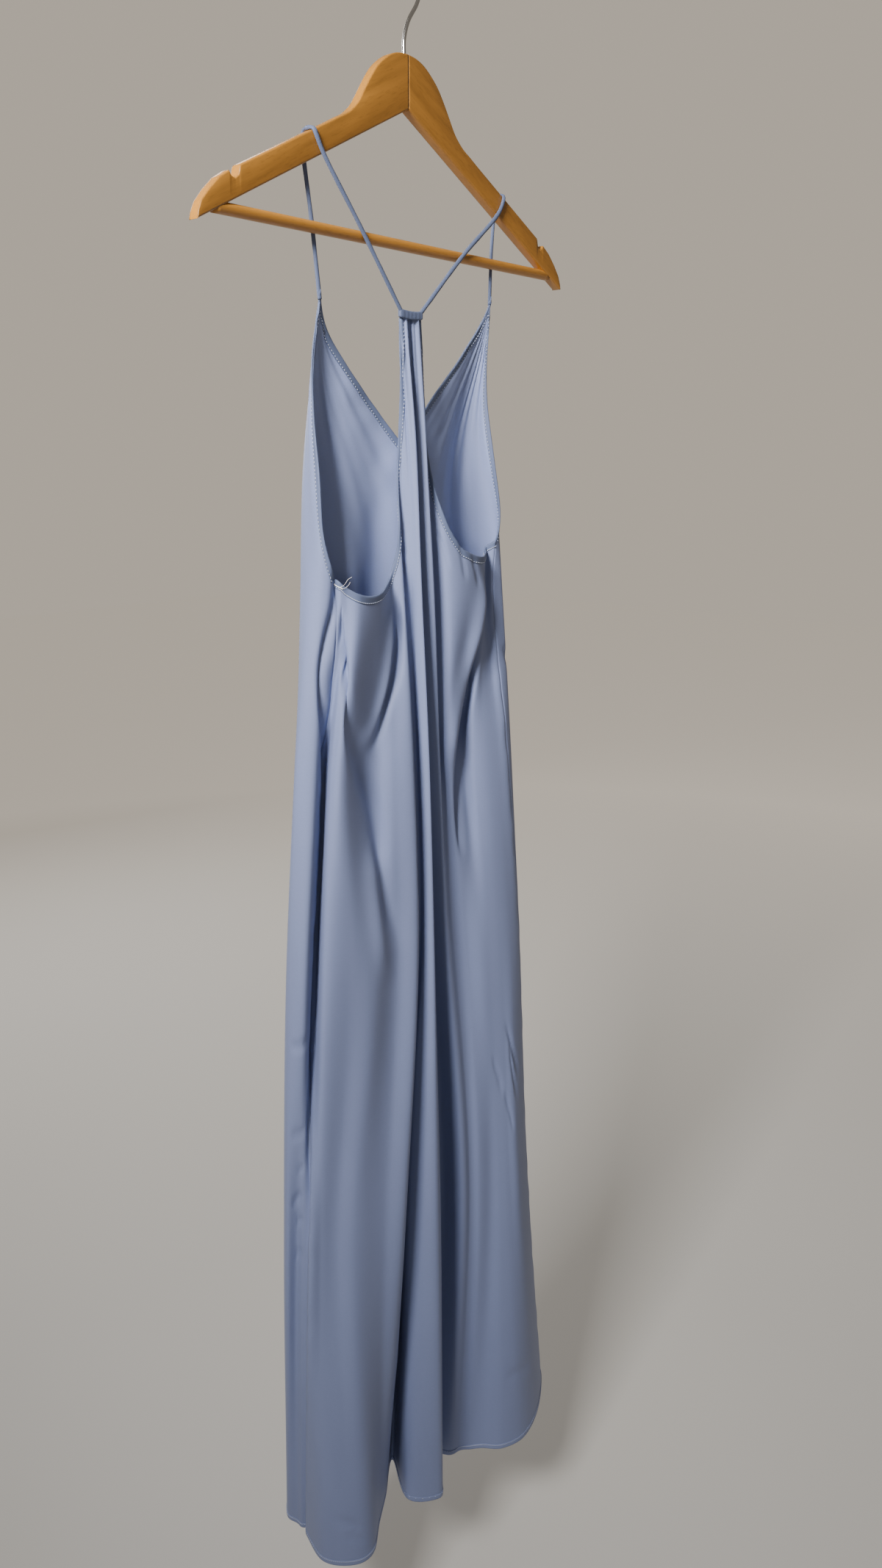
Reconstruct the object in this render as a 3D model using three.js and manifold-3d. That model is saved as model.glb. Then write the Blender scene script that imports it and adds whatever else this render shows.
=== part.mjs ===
// A racer-back slip dress with thin straps, hanging on a flat wooden hanger.
//
// Millimetres, +Z up. The origin is the seat of the hook: the underside of its loop, where the
// rail carries it. X runs along the hanger, the front of the dress faces -Y and its back +Y.
// The dress is one closed curve at every height, worked out from a table of its folds, cut
// along its edges into a front, a back and their bindings, and given the thickness of cloth.

import * as THREE from 'three';
import { mergeVertices } from 'three/addons/utils/BufferGeometryUtils.js';
import Module from 'manifold-3d';

// ---------------------------------------------------------------------------------- sizes

const GAP = 0.3; // between neighbouring pieces
const BINDING_GAP = 2.3; // the same beside a binding, in the flat: gathers then draw it in
const SEAM_GAP = 0.6; // and at the side seams
const CLOTH = 1.6; // wall of the panels
const BOUND = 2.4; // wall of the bindings, which are folded cloth
const CUT_WIDTH = 430; // width of the front and of the back, cut flat, at the underarm
const BINDING_WIDTH = 8; // finished width of the armhole and neck bindings
const HEM_LEFT = -1555; // height of the hem at the left side seam
const HEM_RIGHT = -1539; // and at the right one

// Heights of the sections of the dress.
const LEVELS = {
  neck: -268, bust: -390, underarm: -490, waist: -650, hip: -820, knee: -1150, hem: -1555,
};

// Rows of a table as objects, by the names of its columns.
function table(columns, rows) {
  return rows.map((row) => Object.fromEntries(columns.map((column, i) => [column, row[i]])));
}

// The folds of the dress, once around: a row for each line that runs down the cloth.
// `at` is its place round the cloth: 0 the left side seam, 1 the right one, 2 the left again, so
// the back is 0 to 1 and the front 1 to 2. The other columns are where it stands, [x, y], at
// each level. Above the underarm the lines at the armholes are only guides.
const FOLDS = table(['name', 'at', 'neck', 'bust', 'underarm', 'waist', 'hip', 'knee', 'hem'], [
  ['seam_left', 0, [106, 2], [108, 3], [97, 5], [95, -20], [102, -29], [122, -35], [105, -77]],
  ['left_end', 0.07, [80, 6], [96, 10], [90, 9], [100, -4], [110, -9], [111, -27], [117, -38]],
  ['left_round', 0.15, [55, 4], [62, 8], [77, 15], [92, 5], [87, 2], [97, -20], [100, -7]],
  ['left_trough', 0.23, [35, 0], [32, 2], [48, 10], [48, -7], [58, 6], [83, -6], [76, 1]],
  ['left_rise', 0.31, [20, -3], [20, -10], [18, -5], [29, 5], [25, 4], [49, 1], [44, -19]],
  ['left_edge', 0.365, [18, 0], [13, -3], [9, 1], [9, 11], [4, 11], [23, 8], [16, -36]],
  ['left_valley', 0.405, [16, 2], [6, -5], [3, -9], [0, -7], [-6, -7], [-6, -27], [-27, -62]],
  ['pleat_pocket', 0.43, [12, 4], [2, 1], [-1, 0], [-6, 2], [-12, 2], [-2, -7], [2, -14]],
  ['racer_fold', 0.455, [8, 6], [-1, 9], [-4, 11], [-10, 14], [-17, 13], [-15, 17], [-22, 15]],
  ['groove_mid', 0.505, [1, 2], [-10, -3], [-14, -8], [-24, -11], [-44, -20], [-76, -30], [-60, -32]],
  ['second_fold', 0.545, [-6, 6], [-18, 7], [-25, 8], [-38, 4], [-52, -1], [-77, 1], [-75, -13]],
  ['groove_right', 0.585, [-14, 3], [-27, -3], [-36, -7], [-48, -8], [-66, -5], [-91, 2], [-87, -8]],
  ['right_rise', 0.65, [-18, 2], [-36, 6], [-48, 9], [-58, 2], [-79, 1], [-101, 9], [-96, 1]],
  ['right_crest', 0.72, [-30, 2], [-60, 7], [-71, 13], [-84, -7], [-93, 7], [-115, 13], [-106, 12]],
  ['right_edge', 0.79, [-60, 2], [-90, 6], [-97, 8], [-92, 3], [-104, 12], [-124, 19], [-122, 33]],
  ['right_valley', 0.85, [-90, 2], [-112, 4], [-115, -3], [-102, 8], [-117, 16], [-134, 24], [-150, 43]],
  ['right_panel', 0.92, [-115, 2], [-120, 2], [-124, -10], [-119, 11], [-134, 18], [-147, 28], [-196, 32]],
  ['seam_right', 1, [-124, 2], [-124, 12], [-130, -4], [-133, 12], [-153, 15], [-182, 14], [-250, -2]],
  ['front_right_roll', 1.06, [-124, -2], [-124, -1], [-143, -5], [-148, 5],
    [-165, 4], [-192, 2], [-258, -24]],
  ['front_right_turn', 1.13, [-123, -6], [-119, -23], [-138, -21], [-143, -14],
    [-160, -14], [-184, -16], [-244, -44]],
  ['front_right_drape', 1.22, [-112, -10], [-104, -34], [-110, -36], [-118, -40],
    [-130, -44], [-152, -50], [-202, -72]],
  ['front_right_trough', 1.31, [-84, -9], [-76, -24], [-80, -25], [-86, -28],
    [-94, -30], [-108, -38], [-150, -46]],
  ['front_centre_right', 1.41, [-46, -10], [-40, -22], [-44, -32], [-48, -42],
    [-54, -50], [-66, -72], [-98, -96]],
  ['front_centre', 1.5, [-10, -10], [-12, -13], [-13, -20], [-15, -28], [-18, -32], [-28, -48], [-52, -66]],
  ['front_centre_left', 1.59, [24, -10], [16, -22], [16, -32], [14, -44], [12, -54], [6, -80], [-10, -108]],
  ['front_left_trough', 1.69, [62, -9], [52, -24], [50, -24], [48, -28], [46, -34], [42, -58], [28, -78]],
  ['front_left_drape', 1.78, [88, -10], [80, -37], [84, -38], [84, -42], [86, -56], [82, -84], [58, -118]],
  ['front_left_turn', 1.86, [99, -7], [99, -28], [103, -32], [112, -37],
    [120, -49], [118, -74], [90, -121]],
  ['front_left_roll', 1.91, [101, -4], [104, -13], [110, -15], [124, -23],
    [131, -34], [129, -58], [104, -106]],
  ['front_left_groove', 1.955, [103, 1], [107, 1], [108, -3], [116, -9],
    [126, -17], [120, -52], [102, -91]],
]);

// Where the side seams end at the underarm, the front's peaks, the foot of the neckline and the
// lower edge of the back's top band.
const UNDERARM = { left: -478, right: -456 };
const PEAK = { share: 0.17, left: -256, right: -240 };
const NECK_FOOT = -374;
const BAND_FOOT = -268;

// The armhole's edge as it is cut: `share` is how far in from the side seam it lies, in shares
// of the panel's width, and `rise` is its height, 0 at the underarm and 1 at its top.
const BACK_ARMHOLE = [
  { share: 0, rise: 0 },
  { share: 0.07, rise: -0.03 },
  { share: 0.14, rise: -0.06 },
  { share: 0.2, rise: -0.075 },
  { share: 0.26, rise: -0.055 },
  { share: 0.31, rise: 0 },
  { share: 0.345, rise: 0.11 },
  { share: 0.37, rise: 0.25 },
  { share: 0.39, rise: 0.42 },
  { share: 0.405, rise: 0.58 },
  { share: 0.415, rise: 0.74 },
  { share: 0.425, rise: 1 },
];
const FRONT_ARMHOLE = [
  { share: 0, rise: 0 },
  { share: 0.02, rise: 0.1 },
  { share: 0.04, rise: 0.22 },
  { share: 0.06, rise: 0.4 },
  { share: 0.09, rise: 0.6 },
  { share: 0.125, rise: 0.8 },
  { share: PEAK.share, rise: 1 },
];

// Grid of the panels: columns along each stretch of the top edge, and rows down to the hem.
const ARMHOLE_COLUMNS = 22;
const STRIP_COLUMNS = 7;
const NECK_COLUMNS = 10;
const ROWS = 20;

const BAND = { width: 31, height: 10, thickness: 4, x: 1.5, y: 6, z: -262.5 };
const STRAP = { radius: 1.8, lift: 2.8, sides: 8, steps: 34 };

// The hanger: half of its outline, [x, z], mirrored for the other arm.
const HANGER = {
  thickness: 9.8,
  bevel: 1,
  shoulder: -220, // height of its two tips
  halfWidth: 222,
  crotch: 112.3, // height of the inner corner above the tips
  notch: { outer: [191.7, 35.8], foot: [186.3, 31.5], inner: [181.3, 41] },
  armTop: [95, 84], // where the straight upper edge ends
  neckSide: [[73.9, 94.1], [54.2, 110.9], [44.6, 126], [28.6, 142.5], [10.5, 151]],
  neckTop: 152,
  tip: [[201.2, 29.9], [210.2, 21.5], [217.9, 12.6], [221.7, 4.3]],
};
const BAR = { radius: 4.4, halfLength: 205, height: -209.1 };
const HOOK = { wire: 1.6, loop: 19, stemFoot: -88, stemTop: -57, sides: 8, steps: 36 };

const BLUE = new THREE.Color(0.42, 0.5, 0.72);
const DEEP_BLUE = new THREE.Color(0.33, 0.4, 0.6);
const WOOD = new THREE.Color(0.68, 0.43, 0.2);
const CHROME = new THREE.Color(0.8, 0.8, 0.8);

const wasm = await Module();
wasm.setup();

// ------------------------------------------------------------------------------ curves

// A smooth curve through (nodes, values) at t, with the slope at each node from its neighbours.
function smooth(nodes, values, t) {
  const last = nodes.length - 1;
  let i = 0;
  while (i < last - 1 && t > nodes[i + 1]) i += 1;
  const slope = (k) => (values[k + 1] - values[k]) / (nodes[k + 1] - nodes[k]);
  const tangent = (k) => {
    if (k === 0) return slope(0);
    if (k === last) return slope(last - 1);
    const before = nodes[k] - nodes[k - 1];
    const after = nodes[k + 1] - nodes[k];
    return (slope(k) * before + slope(k - 1) * after) / (before + after);
  };
  const span = nodes[i + 1] - nodes[i];
  const s = (t - nodes[i]) / span;
  const h = s * s * (3 - 2 * s);
  return (
    values[i] * (1 - h) + values[i + 1] * h +
    span * (tangent(i) * s * (1 - s) * (1 - s) + tangent(i + 1) * s * s * (s - 1))
  );
}

const levelNames = Object.keys(LEVELS).reverse();
const levelHeights = levelNames.map((name) => LEVELS[name]);
// The table once around, with the neighbours of both ends repeated so that it closes smoothly.
const WRAP = 3;
const around = [
  ...FOLDS.slice(-WRAP).map((fold) => ({ ...fold, at: fold.at - 2 })),
  ...FOLDS,
  ...FOLDS.slice(0, WRAP).map((fold) => ({ ...fold, at: fold.at + 2 })),
];
const aroundPlaces = around.map((fold) => fold.at);
const sections = new Map();

// The section of the dress at a height: x and y of every fold there.
function section(z) {
  const key = Math.round(z * 1000);
  if (!sections.has(key)) {
    const down = (fold, n) => levelNames.map((name) => fold[name][n]);
    const axis = (n) => around.map((fold) => smooth(levelHeights, down(fold, n), z));
    sections.set(key, { x: axis(0), y: axis(1) });
  }
  return sections.get(key);
}

// The cloth's point at a place round it and a height.
function cloth(at, z) {
  const { x, y } = section(z);
  return new THREE.Vector3(smooth(aroundPlaces, x, at), smooth(aroundPlaces, y, at), z);
}

// The cloth's outward direction there, from its slopes along and across.
function outward(at, z) {
  const along = cloth(at + 0.002, z).sub(cloth(at - 0.002, z));
  const up = cloth(at, z + 1).sub(cloth(at, z - 1));
  return along.cross(up).normalize();
}

function hemHeight(at) {
  const share = at <= 1 ? at : 2 - at;
  return HEM_LEFT + (HEM_RIGHT - HEM_LEFT) * share;
}

// A cut edge in the flat: [across, height] points in millimetres from the left side seam.
function armholeEdge(table, foot, top, steps) {
  const shares = table.map((row) => row.share);
  const rises = table.map((row) => row.rise);
  const fine = [];
  for (let i = 0; i <= 400; i += 1) {
    const share = (shares.at(-1) * i) / 400;
    fine.push(new THREE.Vector2(share * CUT_WIDTH, foot + (top - foot) * smooth(shares, rises, share)));
  }
  return evenly(fine, steps);
}

// `steps` equal lengths along a polyline.
function evenly(points, steps) {
  const lengths = [0];
  for (let i = 1; i < points.length; i += 1) {
    lengths.push(lengths[i - 1] + points[i].distanceTo(points[i - 1]));
  }
  const total = lengths.at(-1);
  const out = [];
  let k = 0;
  for (let i = 0; i <= steps; i += 1) {
    const wanted = (total * i) / steps;
    while (k < lengths.length - 2 && lengths[k + 1] < wanted) k += 1;
    const t = (wanted - lengths[k]) / (lengths[k + 1] - lengths[k]);
    out.push(points[k].clone().lerp(points[k + 1], t));
  }
  return out;
}

// The edge moved inwards, which is to the right of an edge that runs up from the side seam.
function inset(points, distance) {
  return points.map((point, i) => {
    const [before, after] = [points[Math.max(i - 1, 0)], points[Math.min(i + 1, points.length - 1)]];
    const run = after.clone().sub(before).normalize();
    return new THREE.Vector2(point.x + run.y * distance, point.y - run.x * distance);
  });
}

// ------------------------------------------------------------------------------ solids

// A closed wall from a grid of places on the cloth, grid[i][j] = [place round, height].
function wall(grid, thickness) {
  const columns = grid.length;
  const rows = grid[0].length;
  const positions = [];
  for (const side of [1, -1]) {
    for (const column of grid) {
      for (const [at, z] of column) {
        const point = cloth(at, z).addScaledVector(outward(at, z), (side * thickness) / 2);
        positions.push(point.x, point.y, point.z);
      }
    }
  }
  const index = (side, i, j) => (side * columns + i) * rows + j;
  const faces = [];
  const quad = (a, b, c, d) => faces.push(a, b, c, a, c, d);
  for (let i = 0; i < columns - 1; i += 1) {
    for (let j = 0; j < rows - 1; j += 1) {
      quad(index(0, i, j), index(0, i + 1, j), index(0, i + 1, j + 1), index(0, i, j + 1));
      quad(index(1, i, j), index(1, i, j + 1), index(1, i + 1, j + 1), index(1, i + 1, j));
    }
  }
  const rim = [];
  for (let i = 0; i < columns - 1; i += 1) rim.push([i, 0]);
  for (let j = 0; j < rows - 1; j += 1) rim.push([columns - 1, j]);
  for (let i = columns - 1; i > 0; i -= 1) rim.push([i, rows - 1]);
  for (let j = rows - 1; j > 0; j -= 1) rim.push([0, j]);
  rim.forEach((here, n) => {
    const next = rim[(n + 1) % rim.length];
    quad(index(0, ...here), index(1, ...here), index(1, ...next), index(0, ...next));
  });
  const geometry = new THREE.BufferGeometry();
  geometry.setAttribute('position', new THREE.Float32BufferAttribute(positions, 3));
  geometry.setIndex(faces);
  return facingOut(geometry);
}

// The same geometry with its faces turned out, if they point in.
function facingOut(geometry) {
  const p = geometry.attributes.position;
  const index = geometry.index.array;
  const [a, b, c] = [new THREE.Vector3(), new THREE.Vector3(), new THREE.Vector3()];
  let volume = 0;
  for (let i = 0; i < index.length; i += 3) {
    a.fromBufferAttribute(p, index[i]);
    b.fromBufferAttribute(p, index[i + 1]);
    c.fromBufferAttribute(p, index[i + 2]);
    volume += a.dot(b.cross(c));
  }
  if (volume < 0) {
    for (let i = 0; i < index.length; i += 3) [index[i + 1], index[i + 2]] = [index[i + 2], index[i + 1]];
  }
  return geometry;
}

// Columns of a panel: from the hem to its top edge, closer together near the top.
function panelGrid(tops, place) {
  return tops.map((top) => {
    const at = place(top.x / CUT_WIDTH);
    const foot = hemHeight(at);
    const column = [];
    for (let j = 0; j <= ROWS; j += 1) {
      const rise = 1 - (1 - j / ROWS) ** 1.25;
      column.push([at, foot + (top.y - foot) * rise]);
    }
    return column;
  });
}

// A strip of binding between two edges in the flat.
function bindingGrid(outer, inner, place) {
  const across = 3;
  return outer.map((point, i) => {
    const column = [];
    for (let k = 0; k <= across; k += 1) {
      const spot = point.clone().lerp(inner[i], k / across);
      column.push([place(spot.x / CUT_WIDTH), spot.y]);
    }
    return column;
  });
}

function mirrored(points) {
  return points.map((point) => new THREE.Vector2(CUT_WIDTH - point.x, point.y)).reverse();
}

const onBack = (share) => share;
const onFront = (share) => 2 - share;

function toManifold(geometry) {
  const bare = geometry.clone();
  bare.deleteAttribute('normal');
  bare.deleteAttribute('uv');
  const merged = mergeVertices(bare, 1e-4);
  return new wasm.Manifold(new wasm.Mesh({
    numProp: 3,
    vertProperties: new Float32Array(merged.attributes.position.array),
    triVerts: new Uint32Array(merged.index.array),
  }));
}

function fromManifold(solid) {
  const mesh = solid.getMesh();
  const geometry = new THREE.BufferGeometry();
  geometry.setAttribute('position', new THREE.Float32BufferAttribute(mesh.vertProperties, 3));
  geometry.setIndex([...mesh.triVerts]);
  return geometry;
}

// A round bar along a curve, closed at both ends.
function rod(points, radius, sides, steps) {
  const section2d = new THREE.Shape();
  for (let k = 0; k < sides; k += 1) {
    const angle = (2 * Math.PI * k) / sides;
    const [x, y] = [radius * Math.cos(angle), radius * Math.sin(angle)];
    if (k === 0) section2d.moveTo(x, y);
    else section2d.lineTo(x, y);
  }
  const curve = new THREE.CatmullRomCurve3(points, false, 'centripetal');
  return new THREE.ExtrudeGeometry(section2d, { steps, extrudePath: curve, bevelEnabled: false });
}

const dress = new THREE.Group();

function add(name, geometry, colour, roughness, metalness = 0) {
  const material = new THREE.MeshStandardMaterial({ color: colour, roughness, metalness });
  const mesh = new THREE.Mesh(geometry, material);
  mesh.name = name;
  dress.add(mesh);
  return mesh;
}

// ------------------------------------------------------------------------- front and back

const halfGap = GAP / 2;
const halfSeam = SEAM_GAP / 2;
const setBack = BINDING_WIDTH + BINDING_GAP;

function backEdges() {
  const left = armholeEdge(BACK_ARMHOLE, UNDERARM.left, BAND_FOOT, ARMHOLE_COLUMNS);
  const right = mirrored(armholeEdge(BACK_ARMHOLE, UNDERARM.right, BAND_FOOT, ARMHOLE_COLUMNS));
  return { left, right };
}

function frontEdges() {
  const left = armholeEdge(FRONT_ARMHOLE, UNDERARM.left, PEAK.left, ARMHOLE_COLUMNS);
  const right = mirrored(armholeEdge(FRONT_ARMHOLE, UNDERARM.right, PEAK.right, ARMHOLE_COLUMNS));
  const middle = new THREE.Vector2(CUT_WIDTH / 2, NECK_FOOT);
  return { left, right, middle };
}

// The top of the back: inside the left binding, under the band, inside the right binding.
function backTop() {
  const { left, right } = backEdges();
  const inLeft = inset(left, setBack);
  const inRight = inset(right, setBack);
  inLeft[0].x = halfSeam;
  inRight.at(-1).x = CUT_WIDTH - halfSeam;
  const strip = evenly([inLeft.at(-1), inRight[0]], STRIP_COLUMNS).slice(1, -1);
  const tops = [...inLeft, ...strip, ...inRight];
  tops.forEach((top) => { top.y = Math.min(top.y, BAND_FOOT - GAP); });
  return tops;
}

// The top of the front: up to each peak inside the armhole's binding, down inside the neck's.
function frontTop() {
  const { left, right, middle } = frontEdges();
  const half = (arm, peak, flip) => {
    const armIn = inset(arm, setBack);
    const neckIn = inset([arm.at(-1), middle], setBack);
    const reach = neckIn[1].clone().sub(neckIn[0]).normalize();
    const foot = new THREE.Vector2(middle.x, neckIn[0].y + (reach.y / reach.x) * (middle.x - neckIn[0].x));
    const neckHeight = (across) => foot.y + (reach.y / reach.x) * (across - foot.x);
    const rising = armIn.filter((point) => point.y < neckHeight(point.x));
    const [a, b] = [rising.at(-1), armIn[rising.length]];
    const above = (point) => point.y - neckHeight(point.x);
    const apex = a.clone().lerp(b, above(a) / (above(a) - above(b)));
    const up = [...rising, apex];
    up[0].x = halfSeam;
    const down = evenly([apex, foot], NECK_COLUMNS).slice(1);
    return flip ? mirrored([...up, ...down]) : [...up, ...down];
  };
  const leftHalf = half(left, PEAK.left, false);
  const rightHalf = half(mirrored(right), PEAK.right, true);
  return [...leftHalf, ...rightHalf.slice(1)];
}

function addPanels() {
  add('back_panel', wall(panelGrid(backTop(), onBack), CLOTH), BLUE, 0.62);
  add('front_panel', wall(panelGrid(frontTop(), onFront), CLOTH), BLUE, 0.62);
}

// ------------------------------------------------------------------------------ bindings

// Each armhole is bound in two lengths that meet at the side seam, front and back.
function addArmholeBindings() {
  const back = backEdges();
  const front = frontEdges();
  const lengths = [
    ['armhole_binding_back_left', back.left, onBack, false],
    ['armhole_binding_back_right', mirrored(back.right), onBack, true],
    ['armhole_binding_front_left', front.left, onFront, false],
    ['armhole_binding_front_right', mirrored(front.right), onFront, true],
  ];
  for (const [name, edge, place, flip] of lengths) {
    const inner = inset(edge, BINDING_WIDTH);
    edge[0].x = halfSeam;
    inner[0].x = halfSeam;
    const side = flip ? (share) => place(1 - share) : place;
    add(name, wall(bindingGrid(edge, inner, side), BOUND), DEEP_BLUE, 0.66);
  }
}

// The neckline's binding, one length each side, ending at the armhole's binding and at the foot.
function addNeckBindings() {
  const { left, right, middle } = frontEdges();
  const lengths = [
    ['neck_binding_left', left, false],
    ['neck_binding_right', mirrored(right), true],
  ];
  for (const [name, arm, flip] of lengths) {
    const armIn = inset(arm, setBack);
    const peak = arm.at(-1);
    const run = middle.clone().sub(peak).normalize();
    const line = (depth) => {
      const start = peak.clone().add(new THREE.Vector2(run.y, -run.x).multiplyScalar(depth));
      const heightOn = (across) => start.y + (run.y / run.x) * (across - start.x);
      const above = (point) => point.y - heightOn(point.x);
      const k = Math.max(1, armIn.findIndex((point) => above(point) > 0));
      const [low, high] = [above(armIn[k - 1]), above(armIn[k])];
      const meet = armIn[k - 1].clone().lerp(armIn[k], low / (low - high));
      const from = new THREE.Vector2(meet.x + GAP, heightOn(meet.x + GAP));
      const to = new THREE.Vector2(middle.x - halfGap, heightOn(middle.x - halfGap));
      return evenly([from, to], NECK_COLUMNS);
    };
    const side = flip ? (share) => onFront(1 - share) : onFront;
    add(name, wall(bindingGrid(line(0), line(BINDING_WIDTH), side), BOUND), DEEP_BLUE, 0.66);
  }
}

// ------------------------------------------------------------------- band and straps

function addBand() {
  const shape = new THREE.Shape();
  const round = BAND.thickness / 2;
  const top = BAND.height / 2;
  shape.moveTo(-round, -top);
  shape.lineTo(round, -top);
  shape.lineTo(round, top - round);
  shape.absarc(0, top - round, round, 0, Math.PI, false);
  shape.lineTo(-round, -top);
  const options = { depth: BAND.width, bevelEnabled: false, curveSegments: 6 };
  const geometry = new THREE.ExtrudeGeometry(shape, options);
  geometry.translate(0, 0, -BAND.width / 2);
  geometry.rotateZ(Math.PI);
  geometry.rotateX(Math.PI / 2);
  geometry.rotateZ(Math.PI / 2);
  const mesh = add('back_band', geometry, DEEP_BLUE, 0.66);
  mesh.position.set(BAND.x, BAND.y, BAND.z);
}

// Height of an arm's upper edge where a strap lies over it.
function armHeight(x) {
  const [outer, inner] = [HANGER.notch.inner, HANGER.armTop];
  const t = (Math.abs(x) - inner[0]) / (outer[0] - inner[0]);
  return HANGER.shoulder + inner[1] + (outer[1] - inner[1]) * t;
}

// A strap: from the front's peak, over the arm and down to the end of the band.
function addStrap(name, peak, crossing, bandEnd) {
  const side = HANGER.thickness / 2 + GAP + STRAP.radius + 0.2;
  const top = armHeight(crossing.x) + STRAP.radius + GAP + STRAP.lift;
  const inwards = Math.sign(crossing.x);
  const points = [
    new THREE.Vector3(peak.x, peak.y, peak.z),
    new THREE.Vector3(peak.x + (crossing.x - peak.x) * 0.5, -side, peak.z + (top - peak.z) * 0.5),
    new THREE.Vector3(crossing.x, -side, top - 12),
    new THREE.Vector3(crossing.x, -side, top - 5),
    new THREE.Vector3(crossing.x, -side * 0.75, top - 1.4),
    new THREE.Vector3(crossing.x, 0, top),
    new THREE.Vector3(crossing.x - inwards * 0.5, side * 0.75, top - 1.4),
    new THREE.Vector3(crossing.x - inwards * 2, side, top - 5),
    new THREE.Vector3(crossing.x - inwards * 8, side, top - 14),
    new THREE.Vector3((crossing.x + bandEnd.x) / 2, side, (top - 14 + bandEnd.z) / 2 + 3),
    new THREE.Vector3(bandEnd.x, bandEnd.y, bandEnd.z),
  ];
  add(name, rod(points, STRAP.radius, STRAP.sides, STRAP.steps), DEEP_BLUE, 0.66);
}

function addStraps() {
  const bandTop = BAND.z + BAND.height / 2 + GAP + STRAP.radius;
  const bandEnd = (x) => ({ x: BAND.x + x, y: BAND.y + 0.5, z: bandTop });
  addStrap('strap_left', { x: 97.5, y: -8, z: PEAK.left + 1.5 }, { x: 108 }, bandEnd(14));
  addStrap('strap_right', { x: -120, y: -8, z: PEAK.right + 1.5 }, { x: -128 }, bandEnd(-14));
}

// -------------------------------------------------------------------------------- hanger

function armShape() {
  const { notch, armTop, neckSide, neckTop, tip, halfWidth, crotch } = HANGER;
  const shape = new THREE.Shape();
  shape.moveTo(halfGap, crotch);
  shape.lineTo(halfWidth, 0);
  for (const [x, z] of [...tip].reverse()) shape.lineTo(x, z);
  shape.lineTo(...notch.outer);
  shape.quadraticCurveTo(notch.outer[0] - 1, notch.foot[1] - 1, ...notch.foot);
  shape.quadraticCurveTo(notch.inner[0] - 1, notch.foot[1] + 2, ...notch.inner);
  shape.lineTo(...armTop);
  shape.splineThru(neckSide.map(([x, z]) => new THREE.Vector2(x, z)));
  shape.lineTo(halfGap, neckTop);
  return shape;
}

function addHanger() {
  const depth = HANGER.thickness - 2 * HANGER.bevel;
  const options = {
    depth,
    curveSegments: 4,
    bevelEnabled: true,
    bevelSize: HANGER.bevel,
    bevelOffset: -HANGER.bevel,
    bevelThickness: HANGER.bevel,
    bevelSegments: 1,
  };
  const blank = new THREE.ExtrudeGeometry(armShape(), options);
  blank.translate(0, 0, -depth / 2);
  blank.rotateX(Math.PI / 2);
  blank.translate(0, 0, HANGER.shoulder);
  const socket = new THREE.CylinderGeometry(BAR.radius + GAP, BAR.radius + GAP, 60, 16);
  socket.rotateZ(Math.PI / 2);
  socket.translate(BAR.halfLength + GAP - 30, 0, BAR.height);
  const stemHole = new THREE.CylinderGeometry(HOOK.wire + GAP, HOOK.wire + GAP, 60, 12);
  stemHole.rotateX(Math.PI / 2);
  stemHole.translate(0, 0, HOOK.stemFoot - GAP + 30);
  const arm = toManifold(blank).subtract(toManifold(socket)).subtract(toManifold(stemHole));
  add('hanger_arm_left', fromManifold(arm), WOOD, 0.45);
  add('hanger_arm_right', fromManifold(arm.mirror([1, 0, 0])), WOOD, 0.45);

  const bar = new THREE.CylinderGeometry(BAR.radius, BAR.radius, 2 * BAR.halfLength, 20);
  bar.rotateZ(Math.PI / 2);
  const barMesh = add('hanger_bar', bar, WOOD, 0.5);
  barMesh.position.set(0, 0, BAR.height);
}

// The hook: a stem in the hanger's neck that bends aside and comes round in an open loop.
function addHook() {
  const centre = HOOK.wire - HOOK.loop;
  const points = [
    new THREE.Vector3(0, 0, HOOK.stemFoot),
    new THREE.Vector3(0, 0, (HOOK.stemFoot + HOOK.stemTop) / 2),
    new THREE.Vector3(0, 0, HOOK.stemTop),
    new THREE.Vector3(-5, 0, HOOK.stemTop + 14),
  ];
  for (let degrees = 215; degrees >= -35; degrees -= 25) {
    const angle = THREE.MathUtils.degToRad(degrees);
    points.push(new THREE.Vector3(HOOK.loop * Math.cos(angle), 0, centre + HOOK.loop * Math.sin(angle)));
  }
  add('hanger_hook', rod(points, HOOK.wire, HOOK.sides, HOOK.steps), CHROME, 0.2, 1);
}

addPanels();
addArmholeBindings();
addNeckBindings();
addBand();
addStraps();
addHanger();
addHook();

export default dress;
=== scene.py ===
"""A racer-back slip dress hanging by its thin straps from a flat wooden hanger.

The dress is worked out in millimetres as one closed curve at every height, from a table of its
folds, and made finer with creases, gathers and seams. Every piece goes into the scene in metres.
"""

import math

import bpy
import numpy as np
from bpy.props import FloatProperty, FloatVectorProperty, PointerProperty
from mathutils import Matrix


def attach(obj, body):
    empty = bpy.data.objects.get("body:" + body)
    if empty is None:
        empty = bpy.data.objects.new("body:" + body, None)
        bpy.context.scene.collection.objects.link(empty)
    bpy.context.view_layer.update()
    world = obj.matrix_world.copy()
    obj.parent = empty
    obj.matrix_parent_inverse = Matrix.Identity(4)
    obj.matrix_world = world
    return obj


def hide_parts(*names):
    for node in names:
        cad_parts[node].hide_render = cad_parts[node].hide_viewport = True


bl_info = {
    "name": "Slip dress on a hanger",
    "version": (1, 0, 0),
    "blender": (4, 5, 0),
    "location": "3D Viewport > Sidebar > Dress",
    "description": "Builds a racer-back slip dress on a wooden hanger, piece by piece",
    "category": "Add Mesh",
}

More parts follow.
